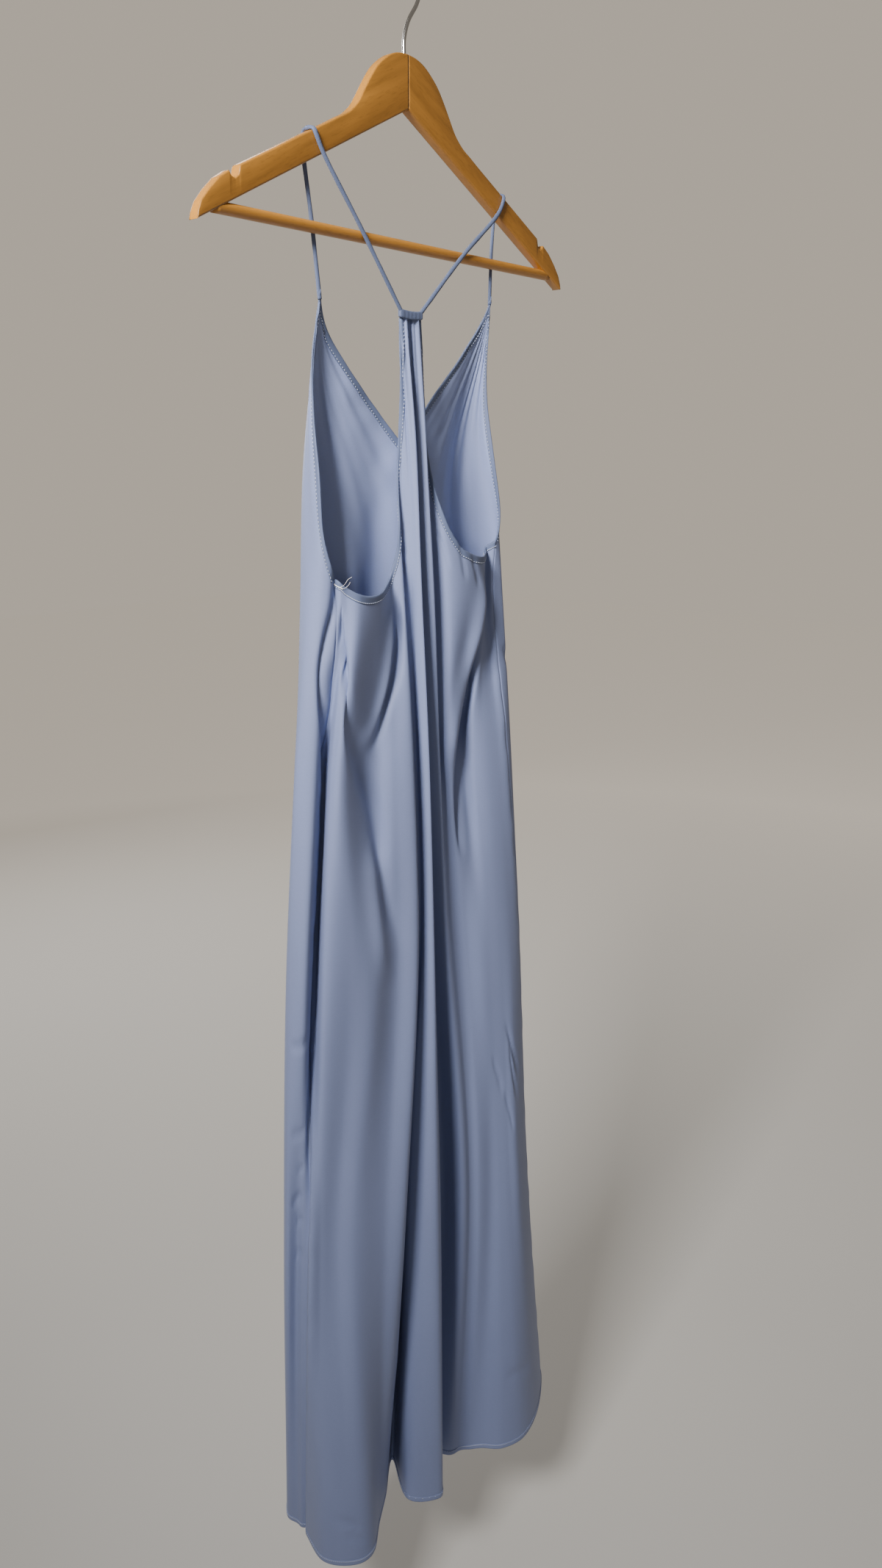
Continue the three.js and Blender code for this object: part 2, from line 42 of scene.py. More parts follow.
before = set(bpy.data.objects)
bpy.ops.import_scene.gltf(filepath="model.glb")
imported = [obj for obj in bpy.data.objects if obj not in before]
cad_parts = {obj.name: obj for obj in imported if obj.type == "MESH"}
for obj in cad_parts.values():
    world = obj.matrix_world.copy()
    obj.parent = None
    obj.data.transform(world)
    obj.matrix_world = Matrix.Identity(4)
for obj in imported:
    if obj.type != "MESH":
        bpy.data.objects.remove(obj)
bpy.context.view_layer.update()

MM = 0.001

# ---- sizes (mm)

CUT = 430.0  # width of the front and of the back, cut flat, at the underarm
PANEL_ROWS = 215  # of a panel's grid, closer together towards its top
LAP = 5.0  # how far a panel's raw edge lies inside its bindings' edge
HEM_LEFT = -1555.0
HEM_RIGHT = -1539.0
HEM_DEPTH = 7.0  # turned-up hem

LEVELS = [-1555, -1150, -820, -650, -490, -390, -268]

# The folds once around, a row for each line down the cloth: its place round (0 left side seam,
# 1 right one, 2 left again; back 0 to 1, front 1 to 2) and (x, y) at each level, hem first.
FOLDS = [
    # at, hem, knee, hip, waist, underarm, bust, neck
    (0.000, (105, -77), (122, -35), (102, -29), (95, -20), (97, 5), (108, 3), (106, 2)),
    (0.070, (117, -38), (111, -27), (110, -9), (100, -4), (90, 9), (96, 10), (80, 6)),
    (0.150, (100, -7), (97, -20), (87, 2), (92, 5), (77, 15), (62, 8), (55, 4)),
    (0.230, (76, 1), (83, -6), (58, 6), (48, -7), (48, 10), (32, 2), (35, 0)),
    (0.310, (44, -19), (49, 1), (25, 4), (29, 5), (18, -5), (20, -10), (20, -3)),
    (0.365, (16, -36), (23, 8), (4, 11), (9, 11), (9, 1), (13, -3), (18, 0)),
    (0.405, (-27, -62), (-6, -27), (-6, -7), (0, -7), (3, -9), (6, -5), (16, 2)),
    (0.430, (2, -14), (-2, -7), (-12, 2), (-6, 2), (-1, 0), (2, 1), (12, 4)),
    (0.455, (-22, 15), (-15, 17), (-17, 13), (-10, 14), (-4, 11), (-1, 9), (8, 6)),
    (0.505, (-60, -32), (-76, -30), (-44, -20), (-24, -11), (-14, -8), (-10, -3), (1, 2)),
    (0.545, (-75, -13), (-77, 1), (-52, -1), (-38, 4), (-25, 8), (-18, 7), (-6, 6)),
    (0.585, (-87, -8), (-91, 2), (-66, -5), (-48, -8), (-36, -7), (-27, -3), (-14, 3)),
    (0.650, (-96, 1), (-101, 9), (-79, 1), (-58, 2), (-48, 9), (-36, 6), (-18, 2)),
    (0.720, (-106, 12), (-115, 13), (-93, 7), (-84, -7), (-71, 13), (-60, 7), (-30, 2)),
    (0.790, (-122, 33), (-124, 19), (-104, 12), (-92, 3), (-97, 8), (-90, 6), (-60, 2)),
    (0.850, (-150, 43), (-134, 24), (-117, 16), (-102, 8), (-115, -3), (-112, 4), (-90, 2)),
    (0.920, (-196, 32), (-147, 28), (-134, 18), (-119, 11), (-124, -10), (-120, 2), (-115, 2)),
    (1.000, (-250, -2), (-182, 14), (-153, 15), (-133, 12), (-130, -4), (-124, 12), (-124, 2)),
    (1.060, (-258, -24), (-192, 2), (-165, 4), (-148, 5), (-143, -5), (-124, -1), (-124, -2)),
    (1.130, (-244, -44), (-184, -16), (-160, -14), (-143, -14), (-138, -21), (-119, -23), (-123, -6)),
    (1.220, (-202, -72), (-152, -50), (-130, -44), (-118, -40), (-110, -36), (-104, -34), (-112, -10)),
    (1.310, (-150, -46), (-108, -38), (-94, -30), (-86, -28), (-80, -25), (-76, -24), (-84, -9)),
    (1.410, (-98, -96), (-66, -72), (-54, -50), (-48, -42), (-44, -32), (-40, -22), (-46, -10)),
    (1.500, (-52, -66), (-28, -48), (-18, -32), (-15, -28), (-13, -20), (-12, -13), (-10, -10)),
    (1.590, (-10, -108), (6, -80), (12, -54), (14, -44), (16, -32), (16, -22), (24, -10)),
    (1.690, (28, -78), (42, -58), (46, -34), (48, -28), (50, -24), (52, -24), (62, -9)),
    (1.780, (58, -118), (82, -84), (86, -56), (84, -42), (84, -38), (80, -37), (88, -10)),
    (1.860, (90, -121), (118, -74), (120, -49), (112, -37), (103, -32), (99, -28), (99, -7)),
    (1.910, (104, -106), (129, -58), (131, -34), (124, -23), (110, -15), (104, -13), (101, -4)),
    (1.955, (102, -91), (120, -52), (126, -17), (116, -9), (108, -3), (107, 1), (103, 1)),
]

UNDERARM_LEFT, UNDERARM_RIGHT = -478.0, -456.0
PEAK_SHARE, PEAK_LEFT, PEAK_RIGHT = 0.17, -256.0, -240.0
NECK_FOOT = -374.0
BAND_FOOT = -268.0

SIDES = (
    # name, underarm, peak, and where a share of a panel's width in from that side's seam lies
    # round the cloth, on the back and on the front
    ("left", UNDERARM_LEFT, PEAK_LEFT, lambda share: share, lambda share: 2 - share),
    ("right", UNDERARM_RIGHT, PEAK_RIGHT, lambda share: 1 - share, lambda share: 1 + share),
)

# An armhole's cut edge: share of the panel's width in from the side seam, and height above the
# underarm as a share of the armhole's own.
BACK_ARMHOLE = [
    (0.0, 0.0), (0.07, -0.03), (0.14, -0.06), (0.2, -0.075), (0.26, -0.055), (0.31, 0.0),
    (0.345, 0.11), (0.37, 0.25), (0.39, 0.42), (0.405, 0.58), (0.415, 0.74), (0.425, 1.0),
]
FRONT_ARMHOLE = [
    (0.0, 0.0), (0.02, 0.1), (0.04, 0.22), (0.06, 0.4), (0.09, 0.6), (0.125, 0.8),
    (PEAK_SHARE, 1.0),
]

# Long creases and folds laid on the table's form: width and height in mm, + a ridge, - a trough,
# then the line it follows as (place round, height), top first.
LINES = [
    # width, height, line
    # the cowl under the left armhole: its valley, its edge beside the back's narrow strip
    (10, -7, [
        (0.015, -500), (0.055, -535), (0.095, -562), (0.13, -584), (0.17, -615), (0.213, -655),
        (0.247, -698), (0.25, -760),
    ]),
    (6, -8, [(0.332, -492), (0.325, -538), (0.314, -568), (0.275, -608), (0.236, -645)]),
    (8, 3.5, [(0.298, -500), (0.29, -545), (0.27, -580), (0.225, -620), (0.19, -660)]),
    # the next fold below it
    (9, -5, [(0.262, -700), (0.262, -748), (0.286, -804), (0.32, -842)]),
    (10, 3, [(0.225, -715), (0.225, -765), (0.25, -830), (0.285, -880)]),
    # the groove beside the left side seam, strong above and faint towards the hem
    (4.5, -6, [
        (2.006, -430), (2.0, -476), (1.99, -503), (1.974, -527), (1.962, -553), (1.968, -580),
        (1.985, -612), (2.0, -645), (2.012, -680), (2.016, -710), (2.012, -750), (2.002, -790),
        (1.998, -860), (1.996, -940), (1.991, -1050), (1.987, -1150),
    ]),
    (3.6, -4.2, [(1.988, -1100), (1.985, -1200), (1.985, -1350), (1.985, -1480), (1.988, -1558)]),
    # beside the narrow fold that falls from the band
    (3.2, -4.5, [(0.429, -470), (0.427, -700), (0.424, -850), (0.412, -1000), (0.405, -1130)]),
    (4, 2.5, [(0.38, -760), (0.38, -900), (0.385, -1150), (0.38, -1400)]),
    # the deep valley under the right armhole, with a full roll on its inner side
    (8, -10, [
        (0.87, -490), (0.825, -535), (0.776, -580), (0.742, -618), (0.708, -655), (0.68, -700),
        (0.66, -780),
    ]),
    (13, 5, [(0.8, -480), (0.77, -535), (0.72, -580), (0.685, -615), (0.65, -650), (0.62, -700)]),
]

# Short creases: place round and height of both ends, sideways bow, width, height, all in mm but
# the places.
CREASES = [
    # at0, z0, at1, z1, bow, width, height
    (0.735, -466, 0.765, -500, 1, 3, -1.6),
    (0.69, -452, 0.705, -492, 1, 3, -1.4),
    (0.62, -440, 0.65, -480, 1, 3, -1.2),
    (0.86, -975, 0.95, -1050, 3, 4, -2.6),
    (0.885, -1000, 0.94, -1078, -2, 4, -2.0),
    (0.84, -1060, 0.9, -1112, 2, 4, -1.8),
    (0.76, -1010, 0.83, -1062, 3, 6, -1.4),
    (0.8, -1440, 0.9, -1452, 3, 6, -1.6),
    (0.03, -500, 0.012, -540, 1, 3, -1.5),
    (0.06, -505, 0.045, -560, -1, 4, -1.2),
    (1.975, -905, 1.915, -915, 1, 4, -1.9),
    (1.975, -1008, 1.92, -1012, 1, 4, -1.9),
    (1.975, -1048, 1.945, -1056, 1, 3.5, -1.6),
    (1.97, -1080, 1.925, -1096, 1.5, 4, -1.9),
    (1.975, -1112, 1.945, -1118, 1, 3.5, -1.5),
    (1.975, -1150, 1.94, -1165, 1, 4, -1.2),
    (1.02, -560, 1.1, -600, 2, 5, -1.5),
    (1.05, -900, 1.12, -960, 2, 5, -1.3),
    (1.3, -700, 1.36, -780, 2, 6, -1.4),
    (1.62, -640, 1.56, -730, 3, 6, -1.6),
    (0.1, -1490, 0.19, -1506, 2, 4, -2.2),
    (0.13, -1512, 0.2, -1524, 2, 4, -1.5),
]

BAND = dict(width=29.0, height=7.0, thickness=4.0, x=1.5, y=6.0, z=-262.5)
STRAP_WIDE, STRAP_THICK = 3.9, 2.6

# Loose threads at the left underarm's tack: places along each, from its root.
LOOSE_THREADS = [
    [(-2, 3, 2), (-5, 4, 6), (-9, 5, 8)],
    [(-2, 2, -1), (-5, 4, 1), (-7, 5, 4)],
]

ARM_THICK = 9.8
SHOULDER = -220.0  # height of the hanger's two tips
CROTCH = 112.3  # inner corner, above the tips
HALF_WIDTH = 222.0
ARM_LEAN = 0.468  # slope of the arms, in radians
BAR_RADIUS, BAR_HALF, BAR_Z = 4.4, 205.0, -209.1
WIRE, LOOP, STEM_FOOT, STEM_TOP = 1.6, 19.0, -88.0, -57.0

# Upper edge of the hanger's arm: distance out from the middle, height above the tips.
ARM_TOP = [
    (0.0, 152.0), (10.5, 151.0), (20.0, 147.8), (28.6, 142.5), (36.5, 135.9), (44.6, 126.0),
    (51.5, 116.3), (58.3, 106.8), (67.3, 98.6), (81.0, 91.2), (95.0, 84.0), (120.0, 71.6),
    (150.0, 56.6), (181.3, 41.0), (183.0, 34.4), (186.3, 31.6), (189.6, 32.6), (191.7, 35.8),
    (201.2, 29.9), (210.2, 21.5), (217.9, 12.6), (221.7, 4.3), (222.0, 0.4),
]


# ---- curves


def blend_weights(nodes, t):
    """Weights of the values at the nodes in a smooth curve at t, a row for each t.

    Between two nodes the curve is a cubic. Its slope at a node is the mean of the slopes on both
    sides of it, each weighted by the length of the other side.
    """
    nodes = np.asarray(nodes, float)
    t = np.asarray(t, float).ravel()
    count = len(nodes)
    rows = np.arange(len(t))
    i = np.clip(np.searchsorted(nodes, t, side="left") - 1, 0, count - 2)
    gaps = np.diff(nodes)
    slopes = np.zeros((count - 1, count))
    slopes[np.arange(count - 1), np.arange(count - 1)] = -1 / gaps
    slopes[np.arange(count - 1), np.arange(1, count)] = 1 / gaps
    tangents = np.zeros((count, count))
    tangents[0], tangents[-1] = slopes[0], slopes[-1]
    before, after = gaps[:-1, None], gaps[1:, None]
    tangents[1:-1] = (slopes[1:] * before + slopes[:-1] * after) / (before + after)
    span = gaps[i]
    s = (t - nodes[i]) / span
    h = s * s * (3 - 2 * s)
    weights = np.zeros((len(t), count))
    weights[rows, i] += 1 - h
    weights[rows, i + 1] += h
    weights += (span * s * (1 - s) ** 2)[:, None] * tangents[i]
    weights += (span * s * s * (s - 1))[:, None] * tangents[i + 1]
    return weights


def smooth_through(nodes, values, t):
    """The smooth curve through (nodes, values) at t, in t's own shape."""
    return (blend_weights(nodes, t) @ np.asarray(values, float)).reshape(np.shape(t))


def ease(t):
    """0 below 0, 1 above 1 and a smooth rise between."""
    t = np.clip(t, 0, 1)
    return t * t * (3 - 2 * t)


def unit(v):
    """Vectors made one long."""
    return v / np.maximum(np.linalg.norm(v, axis=-1, keepdims=True), 1e-12)


def lengths_along(points, squeeze=1.0):
    """Length along a polyline at each of its points, counted with its heights squeezed."""
    run = np.diff(points, axis=0)
    run[:, -1] *= squeeze
    return np.concatenate([[0], np.cumsum(np.linalg.norm(run, axis=1))])


def at_lengths(points, lengths, wanted):
    """A polyline's points at the wanted lengths along it."""
    return np.stack([np.interp(wanted, lengths, column) for column in points.T], 1)


def evenly(points, steps, squeeze=1.0):
    """A polyline's points at equal steps of its length."""
    points = np.asarray(points, float)
    lengths = lengths_along(points, squeeze)
    return at_lengths(points, lengths, np.linspace(0, lengths[-1], steps + 1))


def inset(points, distance):
    """A polyline in the flat moved to its right by a distance."""
    run = unit(np.gradient(points, axis=0))
    return points + np.stack([run[:, 1], -run[:, 0]], 1) * distance


# ---- the cloth

WRAP = 3  # rows repeated past both ends, so that the curve closes smoothly
AROUND = [(row[0] - 2, *row[1:]) for row in FOLDS[-WRAP:]]
AROUND += FOLDS + [(row[0] + 2, *row[1:]) for row in FOLDS[:WRAP]]
PLACES = np.array([row[0] for row in AROUND])
FORM = np.array([row[1:] for row in AROUND], float)  # fold, level, x or y

_dice = np.random.default_rng(11)
WAVER = [
    np.round(_dice.uniform(2, 9, 14)) * np.pi,  # whole half-turns round the cloth
    _dice.uniform(-0.012, 0.012, 14),  # turns down it, in radians a millimetre
    _dice.uniform(0, 6.28, 14),
    _dice.uniform(0.4, 1.0, 14),
]


def drape(at, z):
    """The bare form: at each height a smooth closed curve through the folds' places there."""
    at, z = np.broadcast_arrays(np.asarray(at, float), np.asarray(z, float))
    across, up = blend_weights(PLACES, at), blend_weights(LEVELS, z)
    x = ((across @ FORM[:, :, 0]) * up).sum(1)
    y = ((across @ FORM[:, :, 1]) * up).sum(1)
    return np.stack([x.reshape(at.shape), y.reshape(at.shape), z], axis=-1)


def outward(at, z, shape=drape):
    """Which way the cloth faces: across its slopes along the section and up."""
    along = shape(at + 0.002, z) - shape(at - 0.002, z)
    up = shape(at, z + 1.0) - shape(at, z - 1.0)
    return unit(np.cross(along, up))


def hem_height(at):
    """The hem's height, level from the left seam to the right one and back."""
    return HEM_LEFT + (HEM_RIGHT - HEM_LEFT) * np.where(at <= 1, at, 2 - at)


def around_gap(at, place):
    """How far round the cloth a place is, in millimetres of the cut, the short way."""
    return ((at - place + 1) % 2 - 1) * CUT


def gathers(at, z):
    """Small gathers: rays that fan down from each front peak, and ridges under the back's band."""
    total = np.zeros(np.shape(at))
    for (_, _, peak, _, on_front), turn in zip(SIDES, (0.4, 2.1)):
        across, down = around_gap(at, on_front(PEAK_SHARE)), peak - z
        reach = np.hypot(across, down)
        angle = np.arctan2(across, np.maximum(down, 1))
        rays = np.sin(angle * 33 + turn) + 0.7 * np.sin(angle * 51 + turn * 3)
        total += 0.5 * rays * ease(reach / 50) * (1 - ease((reach - 60) / 260)) * (at > 1)
    across = around_gap(at, 0.5)
    fan = across * (1 + 0.0016 * np.maximum(BAND_FOOT - z, 0))
    ridges = np.sin(fan * 0.62 + 0.6) + 0.5 * np.sin(fan * 1.07 + 2)
    near = (1 - ease((np.abs(across) - 30) / 14)) * (at < 1)
    return total + 1.0 * ridges * near * (1 - ease((BAND_FOOT - z) / 230))


def seams(at, z):
    """The side seams: a fine sunk line with small puckers beside it."""
    total = np.zeros(np.shape(at))
    for place, turn in ((0.0, 0.0), (1.0, 1.7)):
        across = around_gap(at, place)
        pucker = np.sin(z / 6.3 + turn) + np.sin(z / 9.7 + 2 * turn)
        total += -0.5 * np.exp(-((across / 2.0) ** 2))
        total += 0.22 * pucker * np.exp(-((across / 9.0) ** 2))
    return total


def relief(at, z):
    """How far the cloth stands out from its bare form: creases, gathers, seams and unevenness.

    A long crease is a rounded ridge or trough beside a smooth line, fading at both ends. A short
    one is the same beside a slightly bowed straight line.
    """
    at, z = np.broadcast_arrays(np.asarray(at, float), np.asarray(z, float))
    total = gathers(at, z) + seams(at, z)
    for turn, fall, start, share in zip(*WAVER):
        total = total + 0.16 * share * np.sin(turn * at + fall * z + start)
    for width, height, line in LINES:
        places, heights = np.array(line, float)[::-1].T
        centre = smooth_through(heights, places, np.clip(z, heights[0], heights[-1]))
        across = around_gap(at, centre)
        fade = ease((z - heights[0]) / 60) if heights[0] > -1500 else 1.0
        fade = fade * ease((heights[-1] - z) / 40)
        total = total + height * np.exp(-((across / width) ** 2)) * fade
    for at0, z0, at1, z1, bow, width, height in CREASES:
        run = np.array([(at1 - at0) * CUT, z1 - z0])
        length = np.hypot(*run)
        run /= length
        dx, dz = around_gap(at, at0), z - z0
        along = (dx * run[0] + dz * run[1]) / length
        across = dx * run[1] - dz * run[0] + 4 * bow * along * (1 - along)
        fade = ease(along / 0.35 + 0.15) * ease((1 - along) / 0.35 + 0.15)
        total = total + height * np.exp(-((across / width) ** 2)) * fade
    return total


def surface(at, z):
    """The cloth's middle: the bare form moved out by the relief."""
    return drape(at, z) + outward(at, z) * relief(at, z)[..., None]


def facing(at, z):
    """Which way the finished cloth faces."""
    return outward(at, z, surface)


# ---- meshes


def make_object(name, points, faces, material, uv=None, material_index=None):
    """An object at the origin from points in millimetres and quads or triangles, faces outwards.

    The volume that the faces close in says whether they point in, and then they are turned.
    """
    points = np.asarray(points, float).reshape(-1, 3)
    faces = [np.asarray(f, int).reshape(-1, np.shape(f)[-1]) for f in faces]
    volume = 0.0
    for f in faces:
        for k in range(1, f.shape[1] - 1):
            a, b, c = points[f[:, 0]], points[f[:, k]], points[f[:, k + 1]]
            volume += np.einsum("ij,ij->", a, np.cross(b, c))
    if volume < 0:
        faces = [f[:, ::-1] for f in faces]
    mesh = bpy.data.meshes.new(name)
    mesh.from_pydata((points * MM).tolist(), [], [row for f in faces for row in f.tolist()])
    mesh.polygons.foreach_set("use_smooth", np.ones(len(mesh.polygons), bool))
    if material_index is not None:
        mesh.polygons.foreach_set("material_index", np.asarray(material_index, np.int32))
    if uv is not None:
        corners = np.zeros(len(mesh.loops), np.int32)
        mesh.loops.foreach_get("vertex_index", corners)
        layer = mesh.uv_layers.new(name="flat")
        layer.data.foreach_set("uv", (np.asarray(uv, float)[corners] * MM).ravel())
    for m in material if isinstance(material, (list, tuple)) else [material]:
        mesh.materials.append(m)
    mesh.validate()
    mesh.update()
    obj = bpy.data.objects.new(name, mesh)
    bpy.context.scene.collection.objects.link(obj)
    return obj


def grid_quads(rows, columns, wrap_rows=False, wrap_columns=False):
    """Quads of a grid of points, numbered row by row."""
    i = np.arange(rows if wrap_rows else rows - 1)[:, None]
    j = np.arange(columns if wrap_columns else columns - 1)[None, :]
    i2, j2 = (i + 1) % rows, (j + 1) % columns
    corners = [i * columns + j, i2 * columns + j, i2 * columns + j2, i * columns + j2]
    return np.stack([np.broadcast_to(c, (i.size, j.size)) for c in corners], -1).reshape(-1, 4)


def tube(name, rings, material, closed=False):
    """A closed surface from rings of points, joined ring to ring and capped at both ends."""
    count, around = rings.shape[:2]
    faces = [grid_quads(count, around, wrap_rows=closed, wrap_columns=True)]
    points = rings.reshape(-1, 3)
    if not closed:
        points = np.concatenate([points, [rings[0].mean(0), rings[-1].mean(0)]])
        j = np.arange(around)
        j2 = (j + 1) % around
        last = (count - 1) * around
        faces.append(np.stack([j, j2, np.full(around, len(points) - 2)], 1))
        faces.append(np.stack([last + j2, last + j, np.full(around, len(points) - 1)], 1))
    return make_object(name, points, faces, material)


def shell(name, middle, normals, thickness, materials, uv):
    """A thin closed wall on both sides of a grid of points, with a rim round its edges."""
    rows, columns = middle.shape[:2]
    offset = normals * (thickness / 2)
    outer = grid_quads(rows, columns)
    inner = outer[:, ::-1] + rows * columns
    i, j = np.arange(rows), np.arange(columns)
    edge = np.concatenate([
        i[:-1] * columns,
        (rows - 1) * columns + j[:-1],
        i[:0:-1] * columns + columns - 1,
        j[:0:-1],
    ])
    after = np.roll(edge, -1)
    rim = np.stack([after, edge, edge + rows * columns, after + rows * columns], 1)
    index = np.concatenate([np.zeros(len(outer)), np.ones(len(inner)), np.zeros(len(rim))])
    points = np.stack([middle + offset, middle - offset])
    uv = np.tile(uv.reshape(-1, 2), (2, 1))
    return make_object(name, points, [outer, inner, rim], materials, uv, index)


def frames_along(path, side=(0.0, 1.0, 0.0)):
    """Two directions across a path, kept from twisting by one fixed side of it."""
    along = unit(np.gradient(path, axis=0))
    across = unit(np.cross(along, np.broadcast_to(side, path.shape)))
    return across, unit(np.cross(across, along))


def round_rings(path, across, out, corners, wide, deep=None):
    """Rings about a path: centre + across * wide * cos v + out * deep * sin v at each v round.

    Half-width and half-depth are the same unless both are given. They may change along the path,
    as a column, or round the ring, as a row.
    """
    v = np.linspace(0, 2 * math.pi, corners, endpoint=False)
    deep = wide if deep is None else deep
    size = (len(path), corners)
    aside = np.broadcast_to(wide * np.cos(v), size)[..., None] * across[:, None, :]
    outwards = np.broadcast_to(deep * np.sin(v), size)[..., None] * out[:, None, :]
    return path[:, None, :] + aside + outwards


def curve_through(points, steps):
    """A smooth path through points, at nearly equal steps."""
    points = np.asarray(points, float)
    gaps = np.sqrt(np.linalg.norm(np.diff(points, axis=0), axis=1))
    nodes = np.concatenate([[0], np.cumsum(gaps)])
    fine = blend_weights(nodes, np.linspace(0, nodes[-1], 800)) @ points
    return evenly(fine, steps)


def stitches(name, points, along, out, length, thick, material):
    """A row of short stitches: each a six-sided spindle lying along its seam.

    Every ring of a spindle is a hexagon about its middle line, wide in the middle and narrow at
    both ends, which dip a little into the cloth.
    """
    along, out = unit(along), unit(out)
    across = np.cross(along, out)
    steps = np.array([-0.5, -0.3, 0.0, 0.3, 0.5]) * length
    girth = np.array([0.25, 0.85, 1.0, 0.85, 0.25]) * thick
    dip = np.array([-0.6, 0.1, 0.3, 0.1, -0.6]) * thick
    middle = points[:, None] + along[:, None] * steps[:, None] + out[:, None] * dip[:, None]
    v = (np.arange(6) * math.pi / 3)[:, None]
    hexagon = across[:, None, None] * np.cos(v) + out[:, None, None] * np.sin(v)
    rings = middle[:, :, None] + hexagon * girth[:, None, None]  # stitch, ring, corner
    first = (np.arange(len(points)) * 30)[:, None, None]
    sides = grid_quads(5, 6, wrap_columns=True) + first
    ends = np.array([[0, 1, 2, 3, 4, 5], [29, 28, 27, 26, 25, 24]]) + first
    return make_object(name, rings, [sides, ends], material)


# ---- finishes


class Value:
    """A socket of a material's nodes, so that sums and products of values read as plain maths."""

    def __init__(self, tree, socket):
        self.tree, self.socket = tree, socket

    def _maths(self, operation, first, second):
        node = self.tree.nodes.new("ShaderNodeMath")
        node.operation = operation
        for slot, value in zip(node.inputs, (first, second)):
            if isinstance(value, Value):
                self.tree.links.new(value.socket, slot)
            else:
                slot.default_value = value
        return Value(self.tree, node.outputs[0])

    def __add__(self, other):
        return self._maths("ADD", self, other)

    def __sub__(self, other):
        return self._maths("SUBTRACT", self, other)

    def __rsub__(self, other):
        return self._maths("SUBTRACT", other, self)

    def __mul__(self, other):
        return self._maths("MULTIPLY", self, other)

    def __abs__(self):
        return self._maths("ABSOLUTE", self, 0.0)

    __radd__ = __add__
    __rmul__ = __mul__


class Finish:
    """A material under construction."""

    def __init__(self, name, **constants):
        self.material = bpy.data.materials.new(name)
        self.material.use_nodes = True
        self.tree = self.material.node_tree
        self.tree.nodes.clear()
        self.shader = self.tree.nodes.new("ShaderNodeBsdfPrincipled")
        output = self.tree.nodes.new("ShaderNodeOutputMaterial")
        self.tree.links.new(self.shader.outputs[0], output.inputs["Surface"])
        for socket, value in constants.items():
            self.put(socket.replace("_", " "), value)

    def _fill(self, slot, value):
        if isinstance(value, Value):
            self.tree.links.new(value.socket, slot)
        else:
            slot.default_value = value

    def put(self, socket, value):
        """Sets or links one of the shader's own sockets."""
        self._fill(self.shader.inputs[socket], value)

    def node(self, kind, settings=None, values=None, output=0):
        """Adds a node: its settings first, then its sockets' values or links."""
        node = self.tree.nodes.new(kind)
        for key, value in (settings or {}).items():
            if key == "stops":
                ramp = node.color_ramp
                while len(ramp.elements) < len(value):
                    ramp.elements.new(0.5)
                for element, (place, colour) in zip(ramp.elements, value):
                    element.position, element.color = place, colour
            else:
                setattr(node, key, value)
        for key, value in (values or {}).items():
            self._fill(node.inputs[key], value)
        return Value(self.tree, node.outputs[output])

    def place(self):
        """Object coordinates, in metres."""
        return self.node("ShaderNodeTexCoord", output=3)

    def axis(self, where, name):
        return self.node("ShaderNodeSeparateXYZ", None, {0: where}, name)

    def noise(self, where, scale, detail=3.0, rough=0.5):
        values = {"Vector": where, "Scale": scale, "Detail": detail, "Roughness": rough}
        return self.node("ShaderNodeTexNoise", None, values)

    def stretched(self, where, scale, turn=(0, 0, 0)):
        values = {"Vector": where, "Scale": scale, "Rotation": turn}
        return self.node("ShaderNodeMapping", None, values)

    def mix(self, share, first, second):
        values = {0: share, 6: first, 7: second}
        return self.node("ShaderNodeMix", {"data_type": "RGBA"}, values, 2)

    def ramp(self, share, *stops):
        return self.node("ShaderNodeValToRGB", {"stops": stops}, {0: share})

    def bump(self, height, distance, strength=1.0):
        values = {"Height": height, "Distance": distance, "Strength": strength}
        return self.node("ShaderNodeBump", None, values)


def shade(colour, factor):
    """A colour made lighter or darker, with full alpha."""
    return (*[min(1.0, c * factor) for c in colour], 1.0)


BLACK, WHITE = (0, 0, 0, 1), (1, 1, 1, 1)


def crepe(name, colour, light=1.0):
    """Soft satin-backed crepe: a fine pebbled grain, a little cloudier here and there."""
    sheen = {"Sheen_Weight": 0.08, "Sheen_Roughness": 0.4, "Sheen_Tint": (0.85, 0.9, 1.0, 1)}
    finish = Finish(name, Specular_IOR_Level=0.28, **sheen)
    where = finish.place()
    cloud = finish.noise(where, 9.0, 4.0)
    flow = finish.noise(finish.stretched(where, (26, 26, 4)), 3.0, 3.0)
    tone = cloud * 0.6 + flow * 0.4
    grain = finish.noise(where, 1500.0, 2.0, 0.6)
    slub = finish.noise(finish.stretched(where, (260, 260, 1100)), 1.0, 3.0, 0.6)
    cloth = finish.mix(tone, shade(colour, 0.92 * light), shade(colour, 1.08 * light))
    finish.put("Base Color", finish.mix(slub * 0.3, cloth, shade(colour, 0.7 * light)))
    finish.put("Roughness", 0.5 + cloud * 0.12)
    finish.put("Normal", finish.bump(grain * 0.5 + slub * 0.5, 0.00025, 0.7))
    return finish.material


def thread_finish(name, colour):
    """Sewing thread: twisted, slightly shiny."""
    finish = Finish(name, Roughness=0.5, Sheen_Weight=0.2)
    twist = finish.noise(finish.place(), 2500.0, 1.0)
    finish.put("Base Color", finish.mix(twist, shade(colour, 0.85), shade(colour, 1.08)))
    return finish.material


